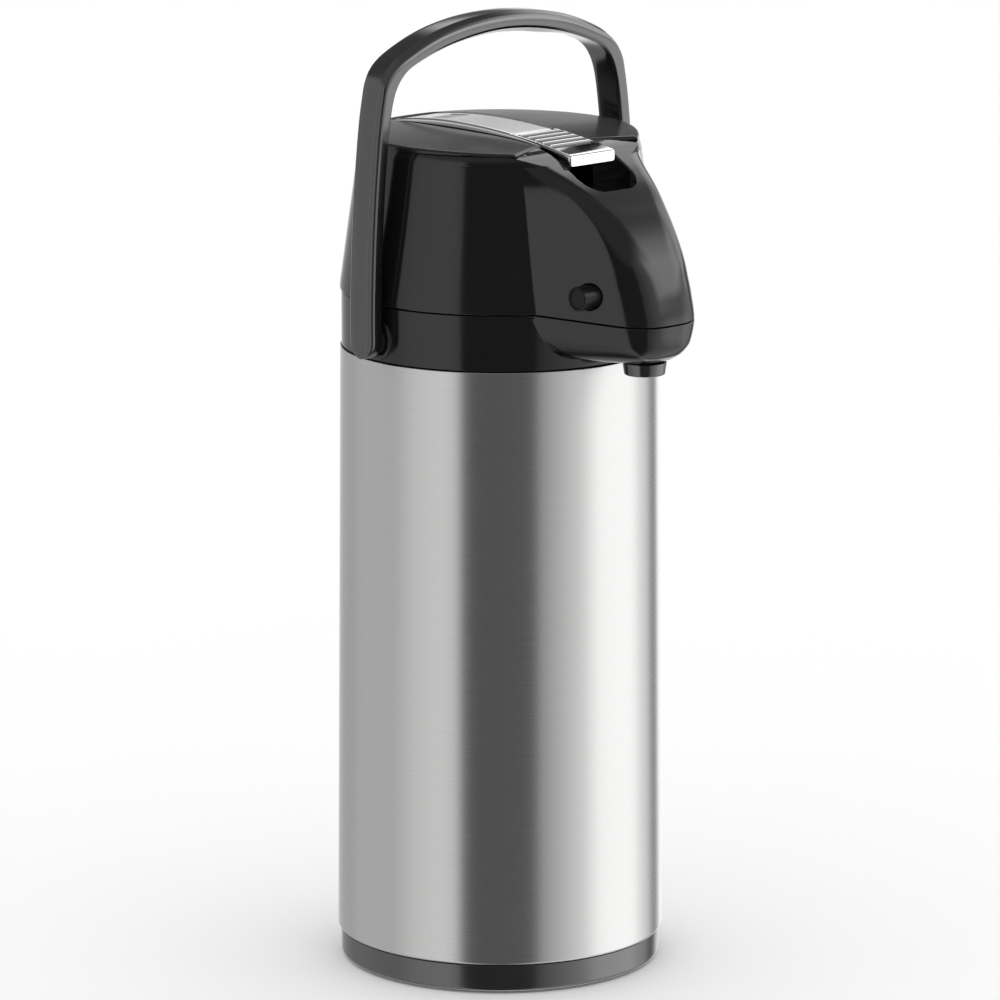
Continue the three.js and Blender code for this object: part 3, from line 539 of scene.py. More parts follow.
def seam_drop(y, z):
    """How far a point at nominal height z is lowered, so that loops follow the sloping parting line."""
    share = np.clip((y - SEAM_BREAK) / (SEAM_TIP - SEAM_BREAK), 0, 1)
    return SEAM_DROP * share * smooth(322, 336, z) * (1 - smooth(348, 384, z))


def lifted(loop, z):
    return np.c_[loop, z - seam_drop(loop[:, 1], z)]


# ------------------------------------------------------------------ collar


def make_collar():
    radius, top, low = 79.6, SEAM - 0.3, COLLAR_LOW[2]
    wall = radius - 2.4
    outline = [
        (radius - 3, low), (radius - 1, low), (radius - 1, 311.5), (radius - 2.8, 311.5),
        (radius - 2.8, 316.4), (radius, 316.4), (radius, top), (wall, top), (wall, 333), (43, 330),
        (43, 327), (radius - 5, 328), (radius - 5, 306),
    ]
    radii = [0.3, 0.4, 0.3, 0.2, 0.2, 0.7, 0.45, 0.4, 2, 0.5, 0.5, 1.5, 0.5]
    collar = revolve("collar_v", rounded(outline, radii))
    heights = np.r_[321.6, np.arange(321.9, 328, 0.5), np.arange(328.5, SEAM - 1.2, 1.25),
                    top - 0.8, top - 0.45]
    rows = [lifted(beak_loop(z), z) for z in heights]
    edge = lambda inward, z: lifted(offset_loop(beak_loop(top), inward), z)
    rows += [edge(0.04, top - 0.3), edge(0.13, top - 0.14), edge(0.3, top - 0.03), edge(0.45, top)]
    keel = new_object("keel", *grid(rows, cap_first=True, cap_last=True))
    boolean(keel, rod_tool(77.6, 290, 420, (0, 0), segments=ROUND))
    boolean(collar, keel, "UNION")
    inner = [lifted(offset_loop(beak_loop(z - 1.6, -50), 2.4), z) for z in (324, 326, 330, 337, 345, 352)]
    hollow = new_object("hollow", *grid(inner, cap_first=True, cap_last=True))
    boolean(hollow, rod_tool(60, 290, 420, (0, 0), segments=ROUND))
    boolean(collar, hollow)
    boolean(collar, rod_tool(8.4, 318, 326, (0, (NOZZLE_LOW[1] + NOZZLE_HIGH[1]) / 2)))
    pivot_y, pivot_z = HANDLE_PIVOT
    for side in (-1, 1):
        outline = [(0, 73.8), (10.5, 73.8), (10.5, 79.6), (10.3, 80.2), (9.8, 80.6), (9, 80.8), (0, 80.8)]
        boss = revolve_solid(outline, (pivot_y, pivot_z), side)
        boolean(collar, boss, "UNION")
    boolean(collar, rod_tool(3.4, -90, 90, HANDLE_PIVOT, "X"))
    for side in (-1, 1):
        boolean(collar, rod_tool(5.6, *sorted((side * 66, side * 74)), HANDLE_PIVOT, "X"))
    hinge_y, hinge_z = HINGE
    for side in (-1, 1):
        start, end = sorted((side * 12, side * 24))
        knuckle = rod_tool(3.8, start, end, HINGE, "X", 48)
        web = prism([(75.5, 333), (79, 333), (hinge_y + 2.5, hinge_z - 5), (hinge_y + 3.4, hinge_z - 1.6),
                     (hinge_y, hinge_z), (78.6, hinge_z - 2.9), (75.5, hinge_z - 2.9)], start, end)
        boolean(knuckle, web, "UNION")
        boolean(collar, knuckle, "UNION")
    boolean(collar, rod_tool(1.8, -40, 40, HINGE, "X", 32))
    weighted(collar)
    finish_piece(collar, "vessel", "gloss_black", GLOSS, "collar")


def revolve_solid(outline, centre, side=1, segments=96, name="tool"):
    """A turned solid along X whose outline starts and ends on the axis."""
    angles = np.arange(segments) / segments * 2 * math.pi
    rows = []
    for radius, x in outline[1:-1]:
        rows.append(np.c_[np.full(segments, side * x), centre[0] + radius * np.cos(angles),
                          centre[1] + radius * np.sin(angles)])
    verts, faces = grid(rows)
    first, last = len(verts), len(verts) + 1
    verts = np.vstack([verts, [side * outline[0][1], *centre], [side * outline[-1][1], *centre]])
    end = (len(rows) - 1) * segments
    for i in range(segments):
        j = (i + 1) % segments
        faces += [(i, first, j), (end + j, last, end + i)]
    obj = new_object(name, verts, faces)
    face_out(obj)
    return obj


def prism(outline, start, end):
    """A side outline of (y, z) pairs pushed along X."""
    rows = [[(x, y, z) for y, z in outline] for x in (start, end)]
    return new_object("tool", *grid(rows, cap_first=True, cap_last=True))


def joint_place(name):
    joint = next(j for j in frame["joints"] if j["name"] == name)
    return joint["pos_m"][1] / MM, joint["pos_m"][2] / MM


HANDLE_PIVOT = joint_place("handle_swing")
HINGE = joint_place("lid_hinge")
LEVER_PIN = joint_place("lever_press")

make_collar()

# ------------------------------------------------------------------ top heights
LEVEL_Y, DROOP, TOP = -15.0, 0.0006, COVER_HIGH[2]
LEVER_ARC = {"crest": 15.0, "front": 0.0011, "back": 0.00175}


def cover_height(y):
    return TOP - DROOP * np.minimum(0, np.asarray(y, float) - LEVEL_Y) ** 2


def cover_crown(x, y):
    """The cover's top is very slightly domed, more at the back than in front."""
    return 0.9 * np.maximum(0, 1 - (x**2 + y**2) / COVER_HIGH[0] ** 2) * smooth(-62, -5, y)


def cover_bottom(y):
    """The gap under the cover's rim climbs towards the beak."""
    share = np.clip((5 - np.asarray(y, float)) / 55, 0, 1)
    return cover_height(y) - 3.0 + 1.7 * share


def lever_height(y):
    y = np.asarray(y, float)
    droop = np.where(y < LEVER_ARC["crest"], LEVER_ARC["front"], LEVER_ARC["back"])
    return 427.7 - droop * (y - LEVER_ARC["crest"]) ** 2


def round_plan(half, front, back, radius, back_radius=0.0, steps=12):
    """Anticlockwise plan outline of a slot, its corners rounded, with points spread along its sides."""
    corners = [(half, back), (-half, back), (-half, front), (half, front)]
    radii = [back_radius, back_radius, radius, radius]
    loop = rounded(corners, radii, steps=steps, support=0.01)
    dense = []
    for a, b in zip(loop, loop[1:] + loop[:1]):
        count = max(1, int(np.linalg.norm(b - a) / 2.0))
        dense += [a + (b - a) * i / count for i in range(count)]
    return np.array(dense)


def flared_cut(plan, floor, height_at, radius=0.9):
    """A cutter with upright sides that opens out in a small round at the surface it comes through."""
    height = np.array([height_at(x, y) for x, y in plan])
    rows = [np.c_[plan, np.full(len(plan), floor)], np.c_[plan, height - radius - 0.4]]
    for k in range(6):
        angle = k / 5 * math.pi / 2
        out = radius * (1 - math.cos(angle))
        rows.append(np.c_[offset_loop(plan, -out), height - radius + radius * math.sin(angle)])
    rows.append(np.c_[offset_loop(plan, -radius - 2.2), height + 0.5])
    rows.append(np.c_[offset_loop(plan, -radius - 2.2), np.full(len(plan), 470)])
    return new_object("tool", *grid(rows, cap_first=True, cap_last=True))


# ------------------------------------------------------------------ lid shell
WELL = {"half": 18.0, "front": -85.0, "back": -50.0, "floor": 388.0, "corner": 8.0}


def make_lid_shell():
    bottom, top = SEAM + 0.3, 422.3
    edge = lambda inward, z, at: lifted(offset_loop(head_loop(at), inward), z)
    rows = [edge(0.45, bottom, bottom), edge(0.3, bottom + 0.03, bottom), edge(0.13, bottom + 0.14, bottom),
            edge(0.04, bottom + 0.3, bottom), lifted(head_loop(bottom + 0.5), bottom + 0.5)]
    heights = np.r_[np.arange(bottom + 1.2, 400, 1.6), np.arange(400, 415, 0.9),
                    np.arange(415, top - 0.3, 0.42)]
    rows += [lifted(offset_loop(head_loop(z), roll(z)), z) for z in heights]
    rows += [edge(roll(top) + 0.1, top - 0.15, top), edge(roll(top) + 0.35, top, top), edge(2.3, top, top)]
    for z in (417.5, 411, 403, 393, 382, 370, 358, bottom + 3):
        rows.append(lifted(offset_loop(head_loop(z + 2.4), 2.4), z))
    rows.append(edge(2.4, bottom, bottom))
    lid = new_object("lid_shell_v", *grid(rows, wrap_rows=True))
    face_out(lid)
    skin = BVHTree.FromPolygons([v.co.copy() for v in lid.data.vertices],
                                [p.vertices[:] for p in lid.data.polygons])

    def top_at(x, y):
        hit = skin.ray_cast(Vector((x * MM, y * MM, 0.5)), Vector((0, 0, -1)))[0]
        found = hit.z / MM if hit is not None else TOP
        return min(found, float(cover_bottom(y)) - 0.4) if y > -46 else found

    wall = 1.8
    plan = round_plan(WELL["half"] + wall, WELL["front"] - wall, WELL["back"] + wall, WELL["corner"] + wall)
    height = np.array([top_at(x, y) - 1.2 for x, y in plan])
    rows = [np.c_[plan, np.full(len(plan), WELL["floor"] - wall)], np.c_[plan, height]]
    tub = new_object("tub", *grid(rows, cap_first=True, cap_last=True))
    boolean(lid, tub, "UNION")
    hole = round_plan(WELL["half"], WELL["front"], WELL["back"] + 1.9, WELL["corner"] + 2.5)
    boolean(lid, flared_cut(hole, WELL["floor"], top_at, 1.0))
    boolean(lid, seat_tool())
    boolean(lid, rod_tool(46, 380, 440, (0, 2)))
    boolean(lid, box_tool((-22, 0, 380), (22, 64, 440)))
    boolean(lid, box_tool((-WELL["half"], -53, 396), (WELL["half"], -35, 440)))
    hinge_y, hinge_z = HINGE
    knuckle = rod_tool(3.8, -11.6, 11.6, HINGE, "X", 48)
    web = prism([(hinge_y - 3.6, hinge_z - 0.6), (hinge_y + 0.2, hinge_z), (hinge_y + 3.5, hinge_z + 1.4),
                 (hinge_y - 2, 353), (77.5, 354), (77.5, hinge_z - 0.6)], -11.6, 11.6)
    boolean(knuckle, web, "UNION")
    boolean(lid, knuckle, "UNION")
    boolean(lid, rod_tool(1.8, -40, 40, HINGE, "X", 32))
    boolean(lid, rod_tool(6.9, -60, -18, BUTTON_AXIS, "X", 64))
    weighted(lid)
    finish_piece(lid, "lid", "gloss_black", GLOSS, "lid_shell")


def cover_plan(radius, shift):
    """Plan of the cover: round, with a bay in front where the beak's deck begins."""
    side_y = -56.5 + shift
    side_x = math.sqrt(COVER_HIGH[0] ** 2 - side_y**2)
    begin = math.asin(side_y / radius)
    angles = np.linspace(begin, math.pi - begin, 200)
    arc = np.c_[radius * np.cos(angles), radius * np.sin(angles)]
    bay = corner_curve(np.array([-side_x, side_y]), np.array([-25, -49 + shift]),
                       np.array([-18, -48 + shift]), 14)
    flat = np.c_[np.linspace(-18, 18, 15), np.full(15, -48 + shift)]
    other = bay[::-1] * np.array([-1, 1])
    loop = np.vstack([arc, bay, flat[1:-1], other])
    return loop[np.linalg.norm(loop - np.roll(loop, 1, 0), axis=1) > 0.05]


def seat_tool():
    plan = cover_plan(95, 0.4)
    low = cover_bottom(plan[:, 1]) - 0.4
    rows = [np.c_[plan, low], np.c_[plan, np.full(len(plan), 440)]]
    return new_object("tool", *grid(rows, cap_first=True, cap_last=True))


def make_cover():
    outline = cover_plan(COVER_HIGH[0], 0.8)
    round_edge = 1.6
    rows = []
    for share in np.r_[np.linspace(0.08, 0.92, 26), 0.96, 0.985]:
        loop = offset_loop(outline, round_edge) * share
        rows.append(np.c_[loop, cover_height(loop[:, 1]) + cover_crown(*loop.T)])
    for k in range(7):
        angle = k / 6 * math.pi / 2
        loop = offset_loop(outline, round_edge * (1 - math.sin(angle)))
        drop = round_edge * (1 - math.cos(angle)) * 0.9
        rows.append(np.c_[loop, cover_height(loop[:, 1]) + cover_crown(*loop.T) - drop])
    low = cover_bottom(outline[:, 1])
    rows.append(np.c_[outline, low + 0.15])
    rows.append(np.c_[offset_loop(outline, 0.2), low])
    for share in (0.96, 0.5, 0.08):
        loop = offset_loop(outline, round_edge) * share
        rows.append(np.c_[loop, cover_bottom(loop[:, 1])])
    cover = new_object("top_cover_v", *grid(rows, cap_first=True, cap_last=True))
    face_out(cover)
    slot = round_plan(LEVER_HIGH[0] + 0.9, -95, 66, 1, 4)
    boolean(cover, flared_cut(slot, 400, lambda x, y: float(cover_height(y) + cover_crown(x, y)), 0.7))
    for side in (-1, 1):
        cheek = box_tool((side * 17, 46, COVER_LOW[2]), (side * 20.6, 61, 421.4))
        boolean(cover, cheek, "UNION")
    boolean(cover, rod_tool(1.8, -24, 24, LEVER_PIN, "X", 32))
    weighted(cover)
    finish_piece(cover, "lid", "satin_black", COVER, "top_cover")


BUTTON_AXIS = tuple((BUTTON_LOW[1:] + BUTTON_HIGH[1:]) / 2)
make_lid_shell()
make_cover()

# ------------------------------------------------------------------ lever
RIBS, RIB_FIRST, RIB_PITCH = 5, -28.4, 5.4
RIB_FIELD = {"half": 13.2, "front": -54.5, "back": -25.2}
INLAY_PLACE = {"half": 8.5, "front": 31.0, "back": 45.0}


def lever_relief(x, y):
    """Height above the lever's smooth top: cross ribs in a sunk field, a satin panel and its rim."""
    edge, side = 12.3, abs(x)
    if RIB_FIELD["front"] < y < RIB_FIELD["back"]:
        offsets = [(y - (RIB_FIRST - i * RIB_PITCH)) / 1.9 for i in range(RIBS)]
        rib = sum(1.4 * math.cos(d * math.pi / 2) for d in offsets if abs(d) < 1)
        return (rib - 0.9) * (1 - float(smooth(RIB_FIELD["half"], RIB_FIELD["half"] + 1, side)))
    if y < RIB_FIELD["front"]:
        return 0.0
    panel = -0.3 * (1 - float(smooth(edge, edge + 0.9, side)))
    if edge - 0.1 < side < edge + 0.8:
        panel -= 0.75 * math.sin((side - edge + 0.1) / 0.9 * math.pi)
    if side > edge + 0.9:
        panel -= 1.1 * ((side - edge - 0.9) / 2.4) ** 1.5
    if side < INLAY_PLACE["half"] and INLAY_PLACE["front"] < y < INLAY_PLACE["back"]:
        panel -= 0.3
    return panel


def make_lever():
    half, front, back, depth = LEVER_HIGH[0], LEVER_LOW[1], LEVER_HIGH[1], 5.4
    arc = [(half - 1.1 + 1.1 * math.sin(a), -1.1 + 1.1 * math.cos(a)) for a in np.linspace(0, math.pi / 2, 6)]
    place = INLAY_PLACE
    xs = np.r_[np.linspace(0, place["half"] - 0.1, 6), place["half"] + 0.02, 9.8, 11, 11.6, 12.0, 12.2,
               np.arange(12.32, 13.3, 0.12), 13.6, 13.9, 14.2, half - 1.2]
    right = [(x, 0.0) for x in xs] + arc
    right += [(half, -depth + 0.9), (half - 0.35, -depth + 0.2), (half - 0.9, -depth)]
    left = [(-x, d) for x, d in right[1:]][::-1]
    section = left + right
    ys = np.r_[np.linspace(back - 1.2, place["back"] + 0.2, 10), place["back"] - 0.02,
               np.linspace(place["back"] - 0.3, place["front"] + 0.3, 8), place["front"] + 0.02,
               np.linspace(place["front"] - 0.2, -25.5, 30), np.arange(-25.8, -56, -0.3),
               -56.4, -56.7, -57.0, -57.4, -58.5, -60, -62, -63.5, front + 2.0]
    rows = []

    def row(y, pull, drop):
        line = []
        for x, d in section:
            top = d > -1e-6
            z = lever_height(y) + d + (lever_relief(x, y) if top else 0)
            z -= drop * (1 + d / depth)
            line.append((x * (1 - pull / half), y, float(z)))
        return line

    for a in np.linspace(math.pi / 2, 0, 5)[:-1]:
        rows.append(row(back - 1.2 + 1.2 * math.sin(a), 0.8 * (1 - math.cos(a)), 1.2 * (1 - math.cos(a))))
    rows += [row(y, 0, 0) for y in ys]
    for a in np.linspace(0, math.pi / 2, 8)[1:]:
        rows.append(row(front + 1.8 - 1.8 * math.sin(a), 1.2 * (1 - math.cos(a)), 1.8 * (1 - math.cos(a))))
    lever = new_object("lever_v", *grid(rows, cap_first=True, cap_last=True), sharp=30)
    face_out(lever)
    inner_rows = []
    for y in np.linspace(back - 3.2, front + 3.4, 30):
        z = float(lever_height(y))
        inner_rows.append([(-half + 2, y, z - depth - 2), (half - 2, y, z - depth - 2),
                           (half - 2, y, z - 2.4), (-half + 2, y, z - 2.4)])
    boolean(lever, new_object("tool", *grid(inner_rows, cap_first=True, cap_last=True)), sharp=30)
    pin_y, pin_z = LEVER_PIN
    for side in (-1, 1):
        start, end = sorted((side * 9, side * 13))
        hanger = rod_tool(4, start, end, LEVER_PIN, "X", 40)
        boolean(hanger, box_tool((start, pin_y - 4, pin_z), (end, pin_y + 4, 423.6)), "UNION")
        boolean(lever, hanger, "UNION", sharp=30)
    boolean(lever, rod_tool(1.8, -24, 24, LEVER_PIN, "X", 32), sharp=30)
    finish_piece(lever, "lever", "chrome", CHROME, "lever")
    for material in (PANEL, GROOVE_SHADE, INLAY):
        lever.data.materials.append(material)
    for face in lever.data.polygons:
        x, y, z = np.array(face.center) / MM
        rise = z - float(lever_height(y))
        ribbed = RIB_FIELD["front"] < y < RIB_FIELD["back"]
        if face.normal.z < 0.1 or rise < -1.6 or y > back - 2:
            continue
        # Faces in the side groove and at the bottom of the rib valleys get the dark chrome: painted shade in these
        # recesses, not a different finish of the metal.
        if 12.3 < abs(x) < 13.05 and y > -25 or ribbed and abs(x) < 14 and rise < -0.15:
            face.material_index = 2
        elif abs(x) < place["half"] and place["front"] < y < place["back"]:
            face.material_index = 3
        elif abs(x) < 12.3 and y > -25:
            face.material_index = 1


make_lever()

# ------------------------------------------------------------------ handle
OUTER = [(91, 327.5), (91, 343), (90.6, 358), (89.9, 376), (88.7, 396), (87, 416), (85, 434), (83, 446),
         (80.9, 455), (77.6, 461.2), (72, 466.2), (60, 472.3), (45, 477.7), (30, 481), (15, 482.9)]
INNER = [(82.8, 327.5), (82.8, 343), (82.6, 358), (82.0, 376), (80.9, 396), (79.2, 416), (77.2, 433),
         (75.2, 444), (72.8, 451), (69.2, 456.6), (64.6, 460.6), (55, 464.8), (42.6, 468.9), (29, 472),
         (15, 474)]


def make_handle():
    top = HANDLE_HIGH[2]
    outer = OUTER + [(0, top)] + [(-x, z) for x, z in OUTER[::-1]]
    inner = INNER + [(0, 474.8)] + [(-x, z) for x, z in INNER[::-1]]
    outer, inner = spline(outer, 241), spline(inner, 241)
    half = (HANDLE_HIGH[1] - HANDLE_LOW[1]) / 2
    pivot_y, pivot_z = HANDLE_PIVOT
    radius = pivot_z - HANDLE_LOW[2]

    def section(out, inn, squeeze, belly, arch):
        """Closed loop round the bar. Its front side (-Y) is square on the legs and swells on the arch."""
        thick = np.linalg.norm(out - inn)
        normal = (out - inn) / thick
        square = np.array([(4.8, -0.12), (half - 1.3, -0.3), (half - 0.25, -1.0), (half, -2.2)])
        swell = np.array([(4.8, -0.35), (half - 1.7, -1.7), (half - 0.4, -3.6), (half, -5.2)])
        front = square + (swell - square) * arch
        low = [(half, -thick + 1.5), (half - 1.2, -thick + 0.1)]
        crown = [(y, -thick - belly * math.cos(y / (half - 2.5) * math.pi / 2)) for y in (5, 3, 1, -1, -3, -5)]
        outline = [(-4.4, 0), (4.4, 0), *square, *low, *crown]
        outline += [(-y, n) for y, n in low[::-1]] + [(-y, n) for y, n in front[::-1]]
        bend = [0.2, 0.8 + 2.2 * arch, 0.8 + 2.2 * arch, 0.8 + 2.2 * arch]
        radii = [0.2, 0.2, 0.2, 0.8, 0.8, 0.8, 0.7, 0.7] + [0.0] * 6 + [0.7, 0.7] + bend[::-1]
        line = []
        for y, n in rounded(outline, radii, steps=4, support=0):
            x, z = out + normal * n
            line.append((x, pivot_y + y * squeeze, z))
        return line

    rows = []
    ends = np.linspace(math.pi / 2, 0, 15)[:-1]

    def foot(side):
        line = []
        for a in (ends if side > 0 else ends[::-1]):
            drop = np.array([0, radius * math.sin(a)])
            out, inn = np.array([side * 91.0, pivot_z]) - drop, np.array([side * 82.8, pivot_z]) - drop
            line.append(section(out, inn, max(math.cos(a), 0.02), 0.0, 0.0))
        return line

    rows += foot(1)
    for i in range(len(outer)):
        belly = 2.4 * float(smooth(60, 25, abs(outer[i][0]))) if outer[i][1] > 466 else 0.0
        rows.append(section(outer[i], inner[i], 1.0, belly, float(smooth(450, 472, outer[i][1]))))
    rows += foot(-1)
    bail = new_object("handle_v", *grid(rows, cap_first=True, cap_last=True), sharp=50)
    face_out(bail)
    for side in (-1, 1):
        boolean(bail, rod_tool(3.4, *sorted((side * 70, side * 89)), HANDLE_PIVOT, "X", 48), sharp=50)
    finish_piece(bail, "handle", "gloss_black", BAIL, "handle")


make_handle()

# ------------------------------------------------------------------ nozzle, buttons, pump


def make_nozzle():
    low, high = NOZZLE_LOW[2], 321.3
    centre = (0, (NOZZLE_LOW[1] + NOZZLE_HIGH[1]) / 2)
    outer = (NOZZLE_HIGH[0] - NOZZLE_LOW[0]) / 2
    outline = [(4.9, low + 1.2), (7.4, low), (outer - 0.9, low), (outer, high), (8, high), (8, NOZZLE_HIGH[2]),
               (4.9, NOZZLE_HIGH[2])]
    skirt = revolve("nozzle_v", rounded(outline, [0.5, 0.8, 0.7, 0.4, 0.2, 0.3, 0.3]), 96, centre)
    finish_piece(skirt, "vessel", "gloss_black", BAIL, "nozzle")


def make_button():
    """A round cap with a rim and a dished face, on a wider flange inside the lid."""
    tip, seat = -BUTTON_LOW[0], -BUTTON_HIGH[0]
    radius = 6.0
    outline = [(0, seat), (radius + 1.4, seat), (radius + 1.6, seat + 0.2), (radius + 1.6, seat + 1.3),
               (radius, seat + 1.6), (radius, tip - 0.75), (radius - 0.06, tip - 0.45), (radius - 0.2, tip - 0.2),
               (radius - 0.42, tip - 0.05), (radius - 0.7, tip), (radius - 0.98, tip - 0.06),
               (radius - 1.15, tip - 0.3), (radius - 1.3, tip - 0.75), (radius - 1.5, tip - 0.92),
               (radius - 1.8, tip - 0.98), (radius - 4, tip - 0.85), (0.4, tip - 0.8), (0, tip - 0.8)]
    cap = revolve_solid(outline, BUTTON_AXIS, -1, name="release_button_v")
    finish_piece(cap, "release", "gloss_black", CAP, "release_button")


def coil(name, centre, radius, wire, low, high, turns, along="Z"):
    """A round-wire spring with closed ends."""
    steps, sides = int(turns * 28), 10
    rows = []
    angles = np.arange(sides) / sides * 2 * math.pi
    for i in range(steps + 1):
        t = i / steps
        turn = 2 * math.pi * turns * t
        out, up = np.array([math.cos(turn), math.sin(turn), 0]), np.array([0, 0, 1.0])
        middle = out * radius + up * (low + (high - low) * float(smooth(0.0, 1.0, t) * 0.35 + 0.65 * t))
        ring = middle + wire * (np.cos(angles)[:, None] * out + np.sin(angles)[:, None] * up)
        rows.append(ring[:, [2, 0, 1]] + np.array([0, *centre]) if along == "X"
                    else ring + np.array([*centre, 0]))
    obj = new_object(name, *grid(rows, cap_first=True, cap_last=True), sharp=60)
    face_out(obj)
    return obj


def make_pump():
    y = (BELLOWS_LOW[1] + BELLOWS_HIGH[1]) / 2
    low, high, outer = BELLOWS_LOW[2], BELLOWS_HIGH[2], BELLOWS_HIGH[0]
    folds = 5
    pitch = (high - low) / folds
    crest = [(outer - 3.4 - 3.2 * math.cos(2 * math.pi * k / 14), low + pitch * k / 14)
             for k in range(folds * 14 + 1)]
    inner = [(r - 1.5, z) for r, z in crest[::-1]]
    wall = revolve("pump_bellows_v", crest + inner, 96, (0, y))
    finish_piece(wall, "lid", "white_plastic", WHITE, "pump_bellows")
    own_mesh(wall)
    spring_low, spring_high = span("pump_spring")
    spring = coil("pump_spring_v", (0, y), 14, 1.0, spring_low[2] + 1, spring_high[2] - 1, 6)
    finish_piece(spring, "lid", "steel_wire", WIRE, "pump_spring")
    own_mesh(spring)
    near, far = span("latch_spring")
    turns = coil("latch_spring_v", BUTTON_AXIS, 3.2, 0.45, near[0] + 1.2, far[0] - 0.5, 5, "X")
    finish_piece(turns, "lid", "steel_wire", WIRE, "latch_spring")
    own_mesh(turns)


make_nozzle()
make_button()
make_pump()

# ------------------------------------------------------------------ camera, floor and light
AZIMUTH, DISTANCE, HEIGHT, TILT = math.radians(43), 3.19115, 0.93455, math.radians(12.365)
camera = bpy.data.objects.new("camera", bpy.data.cameras.new("camera"))
camera.location = (-math.sin(AZIMUTH) * DISTANCE, -math.cos(AZIMUTH) * DISTANCE, HEIGHT)
camera.rotation_euler = (math.pi / 2 - TILT, 0, -AZIMUTH)
camera.data.sensor_width = 36
camera.data.lens = 233.1
camera.data.clip_end = 100
bpy.context.scene.collection.objects.link(camera)
bpy.context.scene.camera = camera
bpy.context.scene.view_settings.view_transform = "Standard"


def make_floor():
    size = 14000
    floor = new_object("floor", [(-size, -size, 0), (size, -size, 0), (size, size, 0), (-size, size, 0)],
                       [(0, 1, 2, 3)])
    floor.location.z = -0.0004
    paper = Shader("floor_paper", Roughness=0.9, Specular_IOR_Level=0.1)
    cloud = paper.noise(3, 2)
    paper.tint(cloud, "Fac", (0.93, 0.93, 0.93), (0.95, 0.95, 0.95))
    floor.data.materials.append(paper.material)
    floor.visible_glossy = False


# What gloss sees of the studio, by azimuth in degrees from the front (-Y) towards +X: brightness of
# the walls, the elevation at which they end, and the brightness overhead.
STUDIO = [
    (-180, 0.50, 6, 0.15), (-172, 0.50, 8, 0.15), (-166, 0.58, 16, 0.15), (-150, 0.60, 24, 0.2),
    (-124, 0.58, 26, 0.3), (-108, 0.80, 26, 0.35), (-84, 0.90, 26, 0.35), (-73, 0.80, 26, 0.35),
    (-70, 0.08, 26, 0.3), (-18, 0.10, 30, 0.3), (-14, 0.40, 36, 0.3), (0, 0.62, 38, 0.3),
    (13, 0.86, 40, 0.3), (24, 0.92, 42, 0.25), (82, 0.96, 42, 0.25), (88, 0.9, 40, 0.2), (94, 0.35, 30, 0.15),
    (100, 0.20, 16, 0.12), (107, 0.35, 6, 0.12), (112, 1.3, 5, 0.12), (140, 1.4, 5, 0.12), (152, 0.7, 5, 0.12),
    (164, 0.5, 6, 0.15), (180, 0.5, 6, 0.15),
]
# Brighter patches: the ranges of azimuth and elevation over which each fades in and out, and its level.
LAMPS = [
    ((14, 36, 64, 82), (-32, -20, -2, 10), 0.65),
    ((16, 34, 66, 84), (8, 18, 32, 44), 1.7),
    ((74, 86, 106, 118), (1, 10, 38, 50), 1.1),
    ((100, 114, 140, 150), (17, 27, 45, 60), 1.6),
]


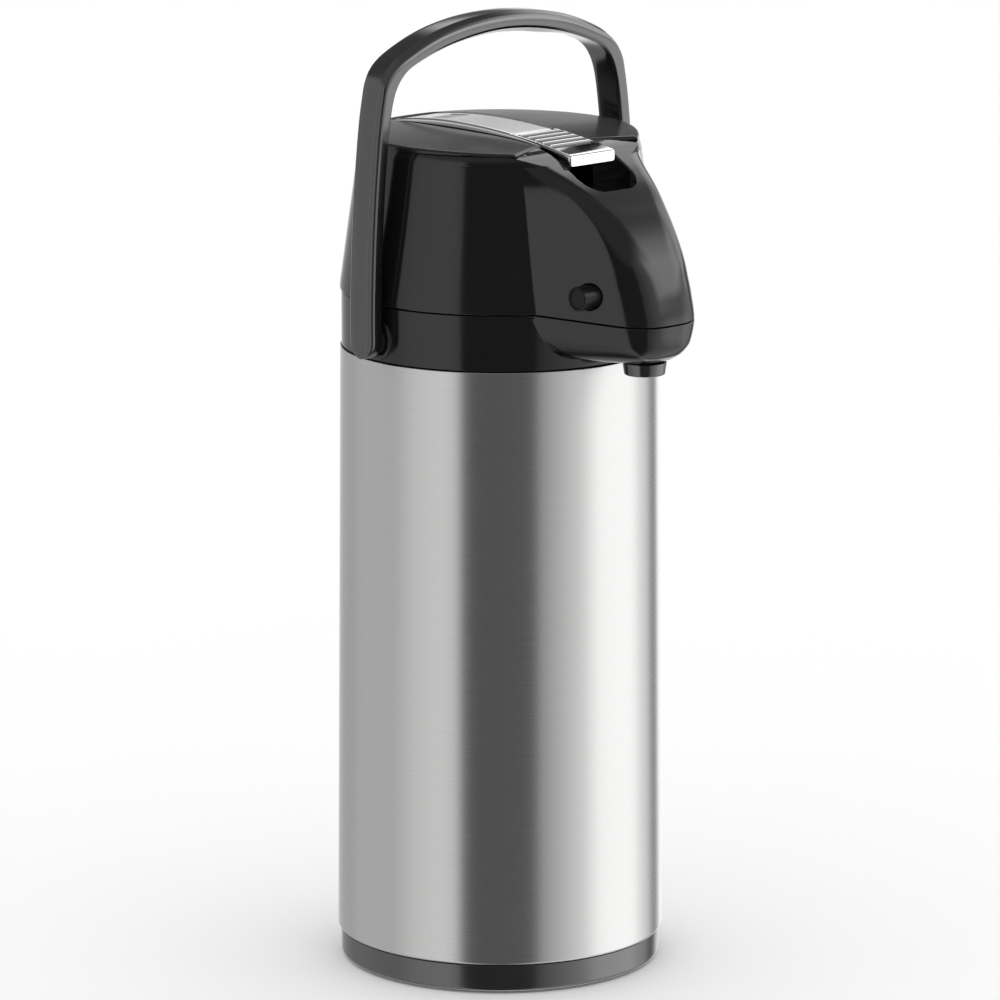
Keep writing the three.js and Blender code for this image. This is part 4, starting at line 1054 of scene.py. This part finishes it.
def make_world():
    world = bpy.data.worlds.new("studio")
    bpy.context.scene.world = world
    world.use_nodes = True
    tree = world.node_tree
    tree.nodes.clear()

    def add(kind, **settings):
        made = tree.nodes.new("ShaderNode" + kind)
        for key, value in settings.items():
            setattr(made, key, value)
        return made

    def math_node(operation, *values):
        made = add("Math", operation=operation)
        for socket, value in zip(made.inputs, values):
            if isinstance(value, (int, float)):
                socket.default_value = value
            else:
                tree.links.new(value, socket)
        return made.outputs[0]

    def ease(value, start, end):
        made = add("MapRange", interpolation_type="SMOOTHSTEP")
        tree.links.new(value, made.inputs["Value"])
        for socket, given in (("From Min", start), ("From Max", end)):
            if isinstance(given, (int, float)):
                made.inputs[socket].default_value = given
            else:
                tree.links.new(given, made.inputs[socket])
        return made.outputs["Result"]

    place, split = add("TexCoord"), add("SeparateXYZ")
    tree.links.new(place.outputs["Generated"], split.inputs[0])
    azimuth = math_node("ARCTAN2", split.outputs["X"], math_node("MULTIPLY", split.outputs["Y"], -1.0))
    share = math_node("DIVIDE", math_node("ADD", azimuth, math.pi), 2 * math.pi)
    elevation = math_node("ARCSINE", split.outputs["Z"])

    def ramp(column, peak):
        made = add("ValToRGB")
        stops = made.color_ramp.elements
        while len(stops) > 1:
            stops.remove(stops[-1])
        for i, row in enumerate(STUDIO):
            at, level = (row[0] + 180) / 360, row[column] / peak
            stop = stops[0] if i == 0 else stops.new(at)
            stop.position, stop.color = at, (level, level, level, 1)
        tree.links.new(share, made.inputs["Fac"])
        return math_node("MULTIPLY", made.outputs["Color"], peak)

    walls, edge, above = ramp(1, 2.0), ramp(2, 90.0), ramp(3, 2.0)
    edge = math_node("MULTIPLY", edge, math.pi / 180)
    high = ease(elevation, math_node("SUBTRACT", edge, math.radians(3)),
                math_node("ADD", edge, math.radians(5)))
    level = math_node("ADD", math_node("MULTIPLY", walls, math_node("SUBTRACT", 1.0, high)),
                      math_node("MULTIPLY", above, high))
    for sideways, upwards, strength in LAMPS:
        lamp = strength
        for angle, limits in ((azimuth, sideways), (elevation, upwards)):
            a, b, c, d = (math.radians(v) for v in limits)
            lamp = math_node("MULTIPLY", ease(angle, a, b), lamp)
            lamp = math_node("MULTIPLY", lamp, math_node("SUBTRACT", 1.0, ease(angle, c, d)))
        level = math_node("ADD", level, lamp)
    seen, plain, out = add("Background"), add("Background"), add("OutputWorld")
    rays, choose = add("LightPath"), add("MixShader")
    tree.links.new(level, seen.inputs["Strength"])
    seen.inputs["Color"].default_value = (1, 1, 1, 1)
    plain.inputs["Color"].default_value = (1, 1, 1, 1)
    plain.inputs["Strength"].default_value = 1.08
    tree.links.new(rays.outputs["Is Glossy Ray"], choose.inputs[0])
    tree.links.new(plain.outputs[0], choose.inputs[1])
    tree.links.new(seen.outputs[0], choose.inputs[2])
    tree.links.new(choose.outputs[0], out.inputs["Surface"])


make_floor()
make_world()
